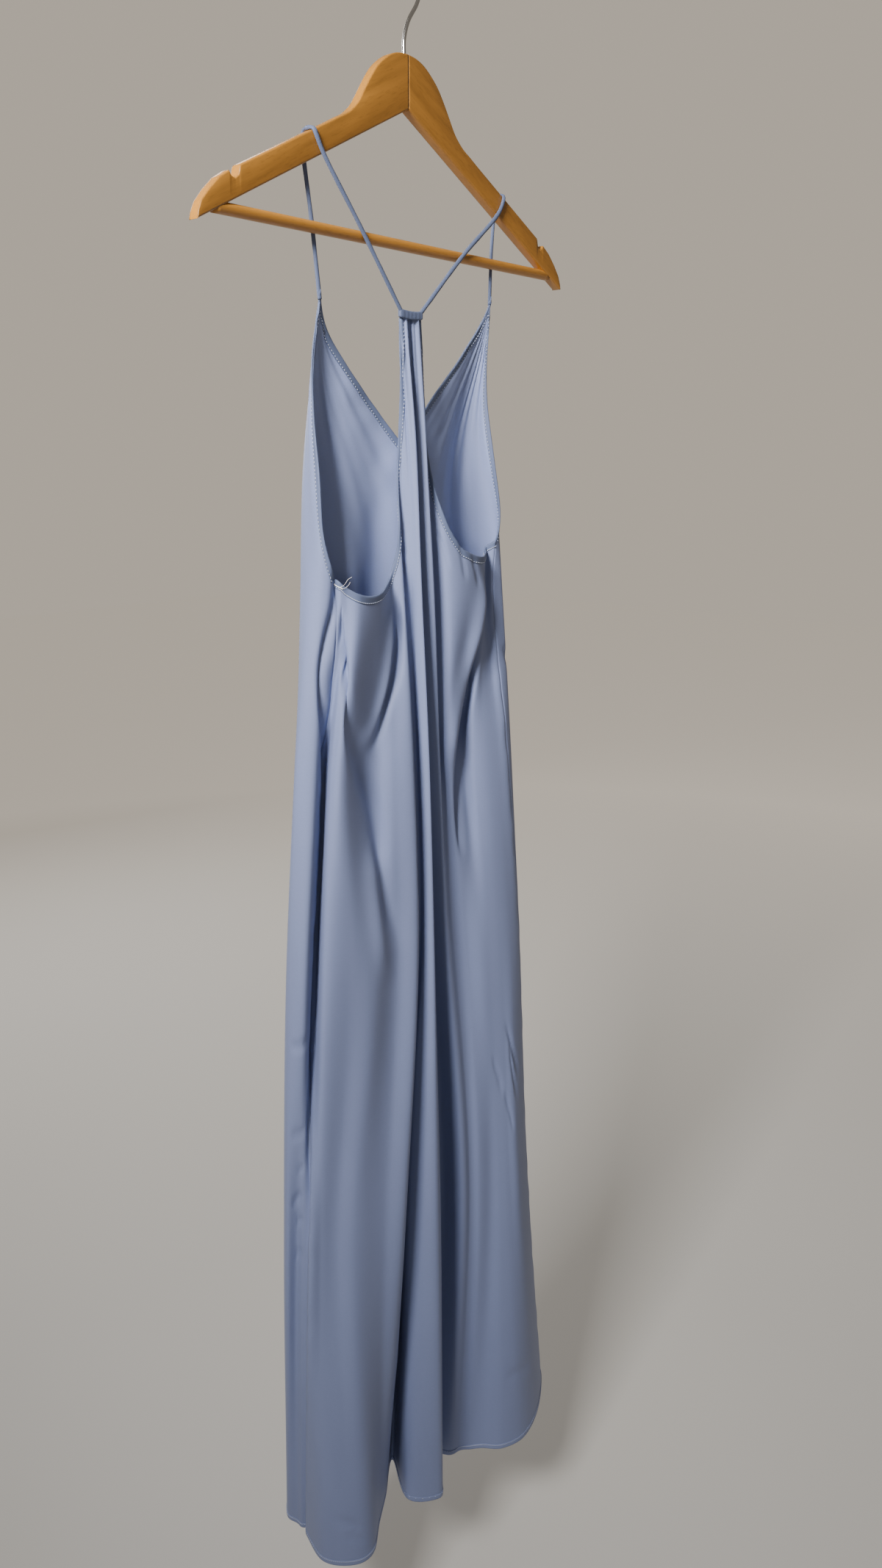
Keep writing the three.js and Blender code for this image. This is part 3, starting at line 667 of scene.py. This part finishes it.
def varnished_wood(name, colour, lean=0.0):
    """Varnished beech: long grain bands and short dark flecks along a piece that leans by an
    angle, paler where its edges are rounded, just inside its two faces."""
    finish = Finish(name, Specular_IOR_Level=0.5, Coat_Roughness=0.12)
    where = finish.place()
    turned = finish.stretched(where, (1, 1, 1), (0, lean, 0))
    bands = finish.noise(finish.stretched(turned, (9, 120, 90)), 1.0, 5.0, 0.55)
    flecks = finish.noise(finish.stretched(turned, (120, 900, 900)), 1.0, 2.0, 0.6)
    fleck = finish.ramp(flecks, (0.55, BLACK), (0.7, WHITE))
    tones = [(0.3, 0.68), (0.52, 1.0), (0.72, 1.22)]
    grain = finish.ramp(bands, *[(share, shade(colour, light)) for share, light in tones])
    edge = (0.0047 - abs(finish.axis(where, "Y"))) * 700
    tone = finish.mix(edge, grain, shade(colour, 1.5))
    finish.put("Base Color", finish.mix(fleck * 0.35, tone, shade(colour, 0.45)))
    finish.put("Roughness", 0.32 + bands * 0.14)
    finish.put("Coat Weight", 0.2 + bands * 0.1)
    finish.put("Normal", finish.bump(bands * 0.8 + flecks * 0.2, 0.0002, 0.2))
    return finish.material


def polished_wire(name, colour):
    """Bright plated steel with a few fine rubs."""
    finish = Finish(name, Metallic=1.0, Base_Color=shade(colour, 1.0))
    rub = finish.noise(finish.stretched(finish.place(), (300, 300, 900)), 1.0, 3.0)
    finish.put("Roughness", 0.12 + rub * 0.12)
    finish.put("Normal", finish.bump(rub, 0.00003, 0.3))
    return finish.material


def floor_finish(name, colour, air):
    """A plain pale matt floor that glows with painted light in the air's colour from 1.9 m off, more
    the further off, so that it fades into the air.
    """
    finish = Finish(name, Specular_IOR_Level=0.2, Emission_Strength=1.0)
    cloud = finish.noise(finish.place(), 1.5, 3.0)
    finish.put("Base Color", finish.mix(cloud, shade(colour, 0.98), shade(colour, 1.02)))
    finish.put("Roughness", 0.8 + cloud * 0.05)
    reach = finish.node("ShaderNodeVectorMath", {"operation": "LENGTH"}, {0: finish.place()}, 1)
    # painted light: past 1.9 m the floor glows in the air's colour, brighter further off
    far_glow = (reach - 1.9) * 0.45
    finish.put("Emission Color", finish.mix(far_glow, BLACK, shade(air, 0.6)))
    return finish.material


# ---- edges


def armhole(table, foot, top, steps=160, squeeze=1.0):
    """An armhole's cut edge in the flat, (across, height) from the side seam up."""
    shares, rises = np.array(table).T
    share = np.linspace(0, shares[-1], 500)
    rise = smooth_through(shares, rises, share)
    return evenly(np.stack([share * CUT, foot + (top - foot) * rise], 1), steps, squeeze)


def bound_edges(foot, peak):
    """The edges that an armhole's bindings cover, up the back and up the front, in the flat."""
    back = armhole(BACK_ARMHOLE, foot, BAND_FOOT + 2, 150)
    return back, armhole(FRONT_ARMHOLE, foot, peak + 2, 130)


def mirrored(points):
    """The same edge seen from the other side seam, in reverse order."""
    return np.stack([CUT - points[:, 0], points[:, 1]], 1)[::-1]


def back_top(steps, strip):
    """The back's raw top edge, left seam to right seam, inside its bindings and the band."""
    halves = []
    for _, foot, *_ in SIDES:
        edge = inset(armhole(BACK_ARMHOLE, foot, BAND_FOOT + 6, steps, 0.45), LAP)
        edge[0, 0] = 0.0
        halves.append(edge)
    left, right = halves[0], mirrored(halves[1])
    across = evenly([left[-1], right[0]], strip)[1:-1]
    return np.concatenate([left, across, right])


def front_top(steps, neck):
    """The front's raw top edge: up an armhole to its peak, down the neckline and up again."""
    halves = []
    for _, foot, peak, *_ in SIDES:
        edge = armhole(FRONT_ARMHOLE, foot, peak, 400)
        side = inset(edge, LAP)
        side[0, 0] = 0.0
        run = unit(np.array([CUT / 2, NECK_FOOT]) - edge[-1])
        start = edge[-1] + np.array([run[1], -run[0]]) * LAP
        fall = run[1] / run[0]
        rising = side[side[:, 1] < start[1] + fall * (side[:, 0] - start[0])]
        middle = np.array([CUT / 2, start[1] + fall * (CUT / 2 - start[0])])
        up = evenly(rising, steps, 0.6)
        down = evenly([rising[-1], middle], neck)[1:]
        halves.append(np.concatenate([up, down]))
    return np.concatenate([halves[0], mirrored(halves[1])[1:]])


def panel(name, tops, on_front, thickness, materials):
    """A panel of cloth as a thin wall: columns at fixed places from the hem to its top edge.

    At a share s of its points, a column has reached 1 - (1 - s) ** 1.3 of its height.
    """
    share = tops[:, 0] / CUT
    if on_front:
        share, tops = share[::-1], tops[::-1]
    at = (2 - share if on_front else share)[:, None]
    rise = 1 - (1 - np.linspace(0, 1, PANEL_ROWS + 1)) ** 1.3
    foot = hem_height(at)
    z = foot + (tops[:, 1:2] - foot) * rise[None, :]
    at = np.broadcast_to(at, z.shape)
    middle = surface(at, z)
    normals = unit(np.cross(np.gradient(middle, axis=0), np.gradient(middle, axis=1)))
    return shell(name, middle, normals, thickness, materials, np.stack([at * CUT, z], -1))


def binding_rings(outer, place, width, thick):
    """A folded binding carried along an edge: a flat loop round the panel's raw edge.

    Its profile runs down one face, round the folded outer edge, and back up the other; it is
    thickest just inside the edge and thins towards its sewn side.
    """
    depth = np.array([1.0, 0.93, 0.8, 0.5, 0.25, 0.1, 0.03, 0.0])
    bulge = np.array([0.42, 0.75, 0.62, 0.8, 1.0, 0.85, 0.5, 0.0])
    depth = np.concatenate([depth, depth[-2::-1]])
    bulge = np.concatenate([bulge, -bulge[-2::-1]])
    inwards = inset(outer, 1.0) - outer
    spots = outer[:, None, :] + inwards[:, None, :] * (depth * width)[None, :, None]
    at, z = place(spots[..., 0] / CUT), spots[..., 1]
    return surface(at, z) + facing(at, z) * (bulge * thick / 2)[None, :, None]


def seam_points(edge, place, depth, spacing, clear):
    """Middle, direction and outward side of each stitch of a seam beside an edge in the flat.

    The seam stays clear of the edge's two ends by the lengths given.
    """
    line = inset(edge, depth)
    lengths = lengths_along(line)
    wanted = np.arange(clear[0], lengths[-1] - clear[1], spacing)
    here, ahead = (at_lengths(line, lengths, wanted + step) for step in (0.0, 0.5))
    at, z = place(here[:, 0] / CUT), here[:, 1]
    spots = surface(at, z)
    return spots, surface(place(ahead[:, 0] / CUT), ahead[:, 1]) - spots, facing(at, z)


def band_rings():
    """The band's sections from end to end: boxes with round corners that hang a little.

    At u from -1 to 1 along the band and v round it, depth follows cos v and height sin v, each
    to the power 0.45 with its sign kept. Both shrink to the ends, and the middle sags.
    """
    u = np.linspace(-1, 1, 49)[:, None]
    v = np.linspace(0, 2 * math.pi, 40, endpoint=False)[None, :]
    width, height, depth = BAND["width"] / 2, BAND["height"] / 2, BAND["thickness"] / 2
    full = (1 - np.abs(u) ** 14) ** 0.5
    cos, sin = np.cos(v), np.sin(v)
    y = depth * np.sign(cos) * np.abs(cos) ** 0.45 * (0.35 + 0.65 * full)
    z = height * np.sign(sin) * np.abs(sin) ** 0.45 * (0.75 + 0.25 * full)
    pucker = 0.07 * np.sin(u * 19) * cos**2
    sag = -1.2 * (1 - u**2)
    x = np.broadcast_to(width * u, y.shape)
    return np.stack([BAND["x"] + x, BAND["y"] + y + pucker, BAND["z"] + z + sag], -1)


def hem_rings():
    """The turned hem's profile carried all round: down the outside, round the fold, up inside."""
    at = np.linspace(0, 2, 560, endpoint=False)[:, None]
    rise = np.array([1.0, 0.97, 0.7, 0.3, 0.08, -0.02, 0.08, 0.3, 0.7, 0.97, 1.0])
    bulge = np.array([0.3, 0.75, 0.7, 0.8, 0.7, 0.0, -0.7, -0.8, -0.7, -0.75, -0.3])
    z = hem_height(at) + rise[None, :] * HEM_DEPTH
    at = np.broadcast_to(at, z.shape)
    return surface(at, z) + facing(at, z) * bulge[None, :, None]


def arm_height(x):
    """Height of an arm's upper edge at a distance from the middle."""
    out, rise = np.array(ARM_TOP).T
    return SHOULDER + float(np.interp(abs(x), out, rise))


def strap_path(peak, crossing, band_end):
    """A strap's middle line: up the front, close over the arm and down the back to the band."""
    side = ARM_THICK / 2 + STRAP_THICK / 2 + 0.15
    top = arm_height(crossing) + STRAP_THICK / 2 + 0.2
    sign = math.copysign(1.0, crossing)
    points = [
        peak,
        ((peak[0] + crossing) / 2, (peak[1] - side) / 2 - 0.3, (peak[2] + top) / 2),
        (crossing, -side, top - 16),
        (crossing, -side, top - 5),
        (crossing, -side * 0.86, top - 1.2),
        (crossing, -side * 0.45, top + 0.1),
        (crossing - sign * 0.3, side * 0.45, top + 0.1),
        (crossing - sign * 0.8, side * 0.86, top - 1.2),
        (crossing - sign * 2.2, side, top - 5),
        (crossing - sign * 9, side, top - 16),
        ((crossing + band_end[0]) / 2, (side + band_end[1]) / 2, (top + band_end[2]) / 2 - 1.5),
        band_end,
    ]
    return curve_through(points, 260)


def strap_rings(path):
    """A strap's oval sections, a little uneven in width, with a ridge along its back."""
    length = np.linspace(0, 1, len(path))[:, None]
    wide = STRAP_WIDE / 2 * (1 + 0.05 * np.sin(length * 43) + 0.03 * np.sin(length * 97))
    v = np.linspace(0, 2 * math.pi, 20, endpoint=False)
    ridge = 1 + 0.1 * np.exp(-(((v - math.pi / 2) / 0.35) ** 2))
    return round_rings(path, *frames_along(path), 20, wide, ridge * STRAP_THICK / 2)


def arm_rings(radius, sign):
    """An arm's sections from the middle out to its tip, boxes with rounded edges.

    The upper edge follows ARM_TOP and the lower one is straight. A corner's radius is less where
    the arm is thin.
    """
    out, rise = np.array(ARM_TOP).T
    spans = [(0.1, 181, 120), (181, 192.5, 24), (193, 222, 40)]  # the fine one holds the notch
    x = np.unique(np.concatenate([np.linspace(*span) for span in spans]))
    top = np.where(x < 95, smooth_through(out, rise, x), np.interp(x, out, rise))
    low = CROTCH * (1 - x / HALF_WIDTH)
    top = np.maximum(top, low + 0.5)
    r = np.minimum(radius, (top - low) / 2.2)[:, None]
    corner = np.linspace(0, math.pi / 2, 5)
    y = ARM_THICK / 2 - r + r * np.cos(corner)
    up = (top[:, None] - r) + r * np.sin(corner)
    down = (low[:, None] + r) - r * np.sin(corner)
    y = np.concatenate([y, -y[:, ::-1], -y, y[:, ::-1]], 1)
    z = np.concatenate([up, up[:, ::-1], down, down[:, ::-1]], 1)
    return np.stack([sign * np.broadcast_to(x[:, None], y.shape), y, SHOULDER + z], -1)


# ---- properties


def metres(name, description, default):
    """A size of a piece or a place, in metres."""
    return FloatProperty(name=name, description=description, default=default, unit="LENGTH")


def paint(name, description, default):
    """A colour of a finish."""
    return FloatVectorProperty(
        name=name, description=description, default=default, subtype="COLOR"
    )


class DressSizes(bpy.types.PropertyGroup):
    """Sizes and colours of the dress"""

    cloth: metres("Cloth", "Thickness of the panels' cloth", 0.0006)
    binding: metres("Binding", "Finished width of the armhole and neck bindings", 0.0075)
    stitch: metres("Stitch", "Length of one topstitch", 0.0017)
    colour: paint("Cloth colour", "Colour of the crepe", (0.222, 0.27, 0.47))
    trim: paint("Trim colour", "Colour of the bindings, band and straps", (0.168, 0.214, 0.375))
    thread: paint("Thread colour", "Colour of the sewing thread", (0.5, 0.55, 0.7))


class HangerSizes(bpy.types.PropertyGroup):
    """Sizes and colours of the hanger"""

    edge: metres("Rounding", "Radius of the arms' rounded edges", 0.0016)
    wood: paint("Wood colour", "Colour of the varnished wood", (0.31, 0.135, 0.02))
    wire: paint("Hook colour", "Colour of the plated hook", (0.75, 0.75, 0.76))


class StageSizes(bpy.types.PropertyGroup):
    """Height, colours and lights of the stage"""

    floor: metres("Floor", "Height of the floor, from the hook's seat", -1.74)
    floor_pale: paint("Floor colour", "Colour of the floor", (0.66, 0.65, 0.63))
    pale: paint("Air colour", "Colour of the air behind", (0.62, 0.55, 0.46))
    glow: FloatProperty(
        name="Air light", description="Strength of the light from all around", default=0.29
    )
    seen: FloatProperty(
        name="Air seen", description="Brightness of the air behind the dress", default=0.8
    )
    key: FloatProperty(
        name="Key light", description="Power of the main light", default=17.5, unit="POWER"
    )


# ---- operators


def finished(obj, slot, *nodes):
    """Puts a piece on the hanging body in place of its CAD nodes, which it hides. The slot given is
    not used.
    """
    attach(obj, "root")
    if nodes:
        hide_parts(*nodes)


class DressPanels(bpy.types.Operator):
    """Adds the front and the back, each a thin sheet of hanging crepe"""

    bl_idname = "dress.panels"
    bl_label = "Front and back"

    def execute(self, context):
        sizes = context.scene.dress_sizes
        # The inner face is 1.2 times lighter: partly the satin back's own paler tone, partly painted
        # light standing in for the light that reaches the inside through the armholes.
        materials = [crepe("crepe", sizes.colour), crepe("crepe_inside_tone_and_painted_light", sizes.colour, 1.2)]
        thick = sizes.cloth / MM
        back = panel("back", back_top(steps=84, strip=30), False, thick, materials)
        finished(back, "cloth", "back_panel")
        front = panel("front", front_top(steps=40, neck=60), True, thick, materials)
        finished(front, "cloth", "front_panel")
        return {"FINISHED"}


class DressBindings(bpy.types.Operator):
    """Adds the folded bindings of both armholes and of the V neck"""

    bl_idname = "dress.bindings"
    bl_label = "Bindings"

    def execute(self, context):
        sizes = context.scene.dress_sizes
        material = crepe("crepe_trim", sizes.trim, 0.76)
        for side, foot, peak, on_back, on_front in SIDES:
            back, front = bound_edges(foot, peak)
            neck = evenly([front[-1] + (-3.0, 2.5), (CUT / 2 + 1.5, NECK_FOOT - 1.2)], 110)
            for name, edge, place in (
                (f"armhole_binding_back_{side}", back, on_back),
                (f"armhole_binding_front_{side}", front, on_front),
                (f"neck_binding_{side}", neck, on_front),
            ):
                rings = binding_rings(edge, place, sizes.binding / MM, 2.0)
                finished(tube(f"{name}_cloth", rings, material), "binding", name)
        return {"FINISHED"}


class DressBand(bpy.types.Operator):
    """Adds the band across the top of the back's strip"""

    bl_idname = "dress.band"
    bl_label = "Back band"

    def execute(self, context):
        material = crepe("crepe_band", context.scene.dress_sizes.trim, 0.62)
        finished(tube("back_band_cloth", band_rings(), material), "binding", "back_band")
        return {"FINISHED"}


class DressStraps(bpy.types.Operator):
    """Adds the two narrow turned straps"""

    bl_idname = "dress.straps"
    bl_label = "Straps"

    def execute(self, context):
        material = crepe("crepe_strap", context.scene.dress_sizes.trim, 0.62)
        for name, peak, crossing, sign in (
            ("strap_left", (96.2, -6.0, PEAK_LEFT - 3), 109.0, 1),
            ("strap_right", (-120.4, -4.4, PEAK_RIGHT - 3), -128.0, -1),
        ):
            end = BAND["x"] + sign * (BAND["width"] / 2 - 2.6), BAND["y"] + 0.3, BAND["z"] + 1.0
            rings = strap_rings(strap_path(peak, crossing, end))
            finished(tube(f"{name}_cloth", rings, material), "binding", name)
        return {"FINISHED"}


class DressHem(bpy.types.Operator):
    """Adds the turned hem, a narrow fold all the way round"""

    bl_idname = "dress.hem"
    bl_label = "Hem"

    def execute(self, context):
        material = crepe("crepe_hem", context.scene.dress_sizes.colour, 0.98)
        finished(tube("hem_fold", hem_rings(), material, closed=True), "cloth")
        return {"FINISHED"}


class DressStitches(bpy.types.Operator):
    """Adds the topstitching of the bindings and the hem, and the left underarm's tack"""

    bl_idname = "dress.stitches"
    bl_label = "Stitching"

    def execute(self, context):
        sizes = context.scene.dress_sizes
        material = thread_finish("thread", sizes.thread)
        width, length = sizes.binding / MM, sizes.stitch / MM
        for side, foot, peak, on_back, on_front in SIDES:
            back, front = bound_edges(foot, peak)
            neck = evenly([front[-1], (CUT / 2, NECK_FOOT)], 110)
            rows = []
            for edge, place, clear in (
                (back, on_back, (1, 3)),
                (front, on_front, (1, 12)),
                (neck, on_front, (14, 4)),
            ):
                here, along, out = seam_points(edge, place, width * 0.84, length * 1.9, clear)
                # sewn through, so that each stitch shows on both faces
                rows += [(here + out * 0.72, along, out), (here - out * 0.72, along, -out)]
            here, along, out = (np.concatenate(part) for part in zip(*rows))
            name = f"binding_stitches_{side}"
            finished(stitches(name, here, along, out, length, 0.33, material), "binding")

        # the tack at the left underarm, with the ends of its thread
        white = thread_finish("white_thread", (0.95, 0.95, 0.95))
        _, foot, peak, on_back, _ = SIDES[0]
        joint = bound_edges(foot, peak)[0][:8]
        here, along, out = seam_points(joint, on_back, width * 0.6, 0.75, (0, 0))
        finished(stitches("bartack", here + out * 0.95, along, out, 1.1, 0.45, white), "binding")
        root = here[len(here) // 2] + out[0] * 1.3
        for number, run in enumerate(LOOSE_THREADS):
            path = curve_through([root, *(root + np.array(step) for step in run)], 24)
            rings = round_rings(path, *frames_along(path, (0.0, 0.0, 1.0)), 6, 0.13)
            finished(tube(f"loose_thread_{number}", rings, white), "binding")

        at = np.linspace(0, 2, 430, endpoint=False)
        z = hem_height(at) + HEM_DEPTH * 0.8
        here, out = surface(at, z), facing(at, z)
        along = surface(at + 0.002, z) - here
        hem = stitches("hem_stitches", here + out * 0.68, along, out, length, 0.26, material)
        finished(hem, "cloth")
        return {"FINISHED"}


class HangerArms(bpy.types.Operator):
    """Adds the hanger's two wooden arms and its bar"""

    bl_idname = "hanger.arms"
    bl_label = "Hanger arms and bar"

    def execute(self, context):
        sizes = context.scene.hanger_sizes
        for side, sign in (("left", 1.0), ("right", -1.0)):
            wood = varnished_wood(f"wood_{side}", sizes.wood, -sign * ARM_LEAN)
            arm = tube(f"arm_{side}", arm_rings(sizes.edge / MM, sign), wood)
            finished(arm, "wood", f"hanger_arm_{side}")
        path = np.linspace(-1, 1, 80)[:, None] * (BAR_HALF, 0, 0) + (0, 0, BAR_Z)
        up, across = frames_along(path)
        rings = round_rings(path, across, up, 40, BAR_RADIUS)
        bar = tube("bar", rings, varnished_wood("wood_bar", sizes.wood))
        finished(bar, "wood", "hanger_bar")
        return {"FINISHED"}


class HangerHook(bpy.types.Operator):
    """Adds the wire hook"""

    bl_idname = "hanger.hook"
    bl_label = "Hook"

    def execute(self, context):
        centre = WIRE - LOOP
        points = [(0, 0, STEM_FOOT), (0, 0, (STEM_FOOT + STEM_TOP) / 2), (0, 0, STEM_TOP)]
        points.append((-5, 0, STEM_TOP + 14))
        for turn in np.radians(np.arange(215, -36, -25)):
            points.append((LOOP * math.cos(turn), 0, centre + LOOP * math.sin(turn)))
        path = curve_through(points, 200)
        tip = np.maximum(0, (np.linspace(0, 1, len(path)) - 0.99) / 0.01)
        girth = WIRE * np.sqrt(np.clip(1 - tip**2, 0.02, 1))
        rings = round_rings(path, *frames_along(path), 24, girth[:, None])
        wire = polished_wire("chrome", context.scene.hanger_sizes.wire)
        finished(tube("hook", rings, wire), "chrome", "hanger_hook")
        return {"FINISHED"}


# ---- stage

# The camera: place in metres, the way it looks as azimuth and elevation, its roll and its lens.
CAMERA_PLACE = (0.7737, 0.6908, -0.3838)
CAMERA_AZIMUTH, CAMERA_DOWN, CAMERA_ROLL = 130.166, 15.845, -0.076
CAMERA_LENS = 25.98

LAMPS = [
    # name, place, height of its aim on the middle line, share of the key light's power, size,
    # spread in degrees, tint
    ("key", (1.4, 0.42, 0.45), -0.25, 1.0, 0.45, 86, (1.0, 0.97, 0.93)),
    ("fill", (1.2, 1.9, -0.1), -0.5, 0.13, 1.6, 180, (0.8, 0.87, 1.0)),
    ("front", (-0.9, -2.6, 0.4), -0.5, 2.4, 1.6, 180, (1.0, 0.98, 0.95)),
]


def stand(data, place, back, roll=0.0):
    """Stands a lamp or the camera at a place, its back to a direction, turned by its roll."""
    side = unit(np.cross((0, 0, 1.0), back))
    up = np.cross(back, side)
    cos, sin = math.cos(roll), math.sin(roll)
    axes = np.array([cos * side + sin * up, cos * up - sin * side, back]).T
    holder = bpy.data.objects.new(data.name, data)
    holder.matrix_world = Matrix.Translation(place) @ Matrix(axes.tolist()).to_4x4()
    bpy.context.scene.collection.objects.link(holder)
    return holder


def add_air(scene, sizes):
    """The pale air: a soft glow on the dress, brighter where the camera sees it behind."""
    scene.world = bpy.data.worlds.new("air")
    scene.world.use_nodes = True
    nodes, links = scene.world.node_tree.nodes, scene.world.node_tree.links
    background, path = nodes["Background"], nodes.new("ShaderNodeLightPath")
    strength = nodes.new("ShaderNodeMapRange")
    strength.inputs["To Min"].default_value = sizes.glow
    strength.inputs["To Max"].default_value = sizes.seen
    links.new(path.outputs["Is Camera Ray"], strength.inputs["Value"])
    links.new(strength.outputs["Result"], background.inputs["Strength"])
    background.inputs["Color"].default_value = shade(sizes.pale, 1.0)


class DressStage(bpy.types.Operator):
    """Adds the floor, the lights and the camera"""

    bl_idname = "dress.stage"
    bl_label = "Floor, lights and camera"

    def execute(self, context):
        scene = context.scene
        sizes = scene.stage_sizes
        u = np.linspace(-9, 9, 13)
        grid = np.stack([*np.meshgrid(u, u, indexing="ij"), np.full((13, 13), sizes.floor)], -1)
        matt = floor_finish("floor", sizes.floor_pale, sizes.pale)
        floor = make_object("floor", grid / MM, [grid_quads(13, 13)], matt)

        data = bpy.data.cameras.new("camera")
        data.lens, data.sensor_width, data.clip_start = CAMERA_LENS, 36.0, 0.05
        turn, down, roll = np.radians((CAMERA_AZIMUTH, CAMERA_DOWN, CAMERA_ROLL))
        level = np.array([math.sin(turn), -math.cos(turn), 0]) * math.cos(down)
        scene.camera = stand(data, CAMERA_PLACE, level + (0, 0, math.sin(down)), roll)

        for name, place, aim, share, size, spread, tint in LAMPS:
            lamp = bpy.data.lights.new(name, "AREA")
            lamp.energy, lamp.size, lamp.color = sizes.key * share, size, tint
            lamp.spread = math.radians(spread)
            stand(lamp, place, unit(np.array(place) - (0, 0, aim)))
        add_air(scene, sizes)
        return {"FINISHED"}


OPERATORS = (
    DressPanels, DressBindings, DressBand, DressStraps, DressHem, DressStitches,
    HangerArms, HangerHook, DressStage,
)


class DressPanel(bpy.types.Panel):
    """Lists the pieces"""

    bl_idname = "VIEW3D_PT_slip_dress"
    bl_label = "Slip dress"
    bl_space_type = "VIEW_3D"
    bl_region_type = "UI"
    bl_category = "Dress"

    def draw(self, context):
        for group in GROUPS:
            sizes = getattr(context.scene, group)
            for name in sizes.__annotations__:
                self.layout.prop(sizes, name)
        for operator in OPERATORS:
            self.layout.operator(operator.bl_idname)


GROUPS = {"dress_sizes": DressSizes, "hanger_sizes": HangerSizes, "stage_sizes": StageSizes}


def register():
    """Adds the classes and the scene's settings"""
    for cls in (*GROUPS.values(), *OPERATORS, DressPanel):
        bpy.utils.register_class(cls)
    for name, group in GROUPS.items():
        setattr(bpy.types.Scene, name, PointerProperty(type=group))


def unregister():
    """Takes them off again"""
    for name in GROUPS:
        delattr(bpy.types.Scene, name)
    for cls in reversed((*GROUPS.values(), *OPERATORS, DressPanel)):
        bpy.utils.unregister_class(cls)


def main():
    """Makes every piece in turn, then the stage"""
    register()
    bpy.ops.dress.panels()
    bpy.ops.dress.bindings()
    bpy.ops.dress.band()
    bpy.ops.dress.straps()
    bpy.ops.dress.hem()
    bpy.ops.dress.stitches()
    bpy.ops.hanger.arms()
    bpy.ops.hanger.hook()
    bpy.ops.dress.stage()


if __name__ == "__main__":
    main()
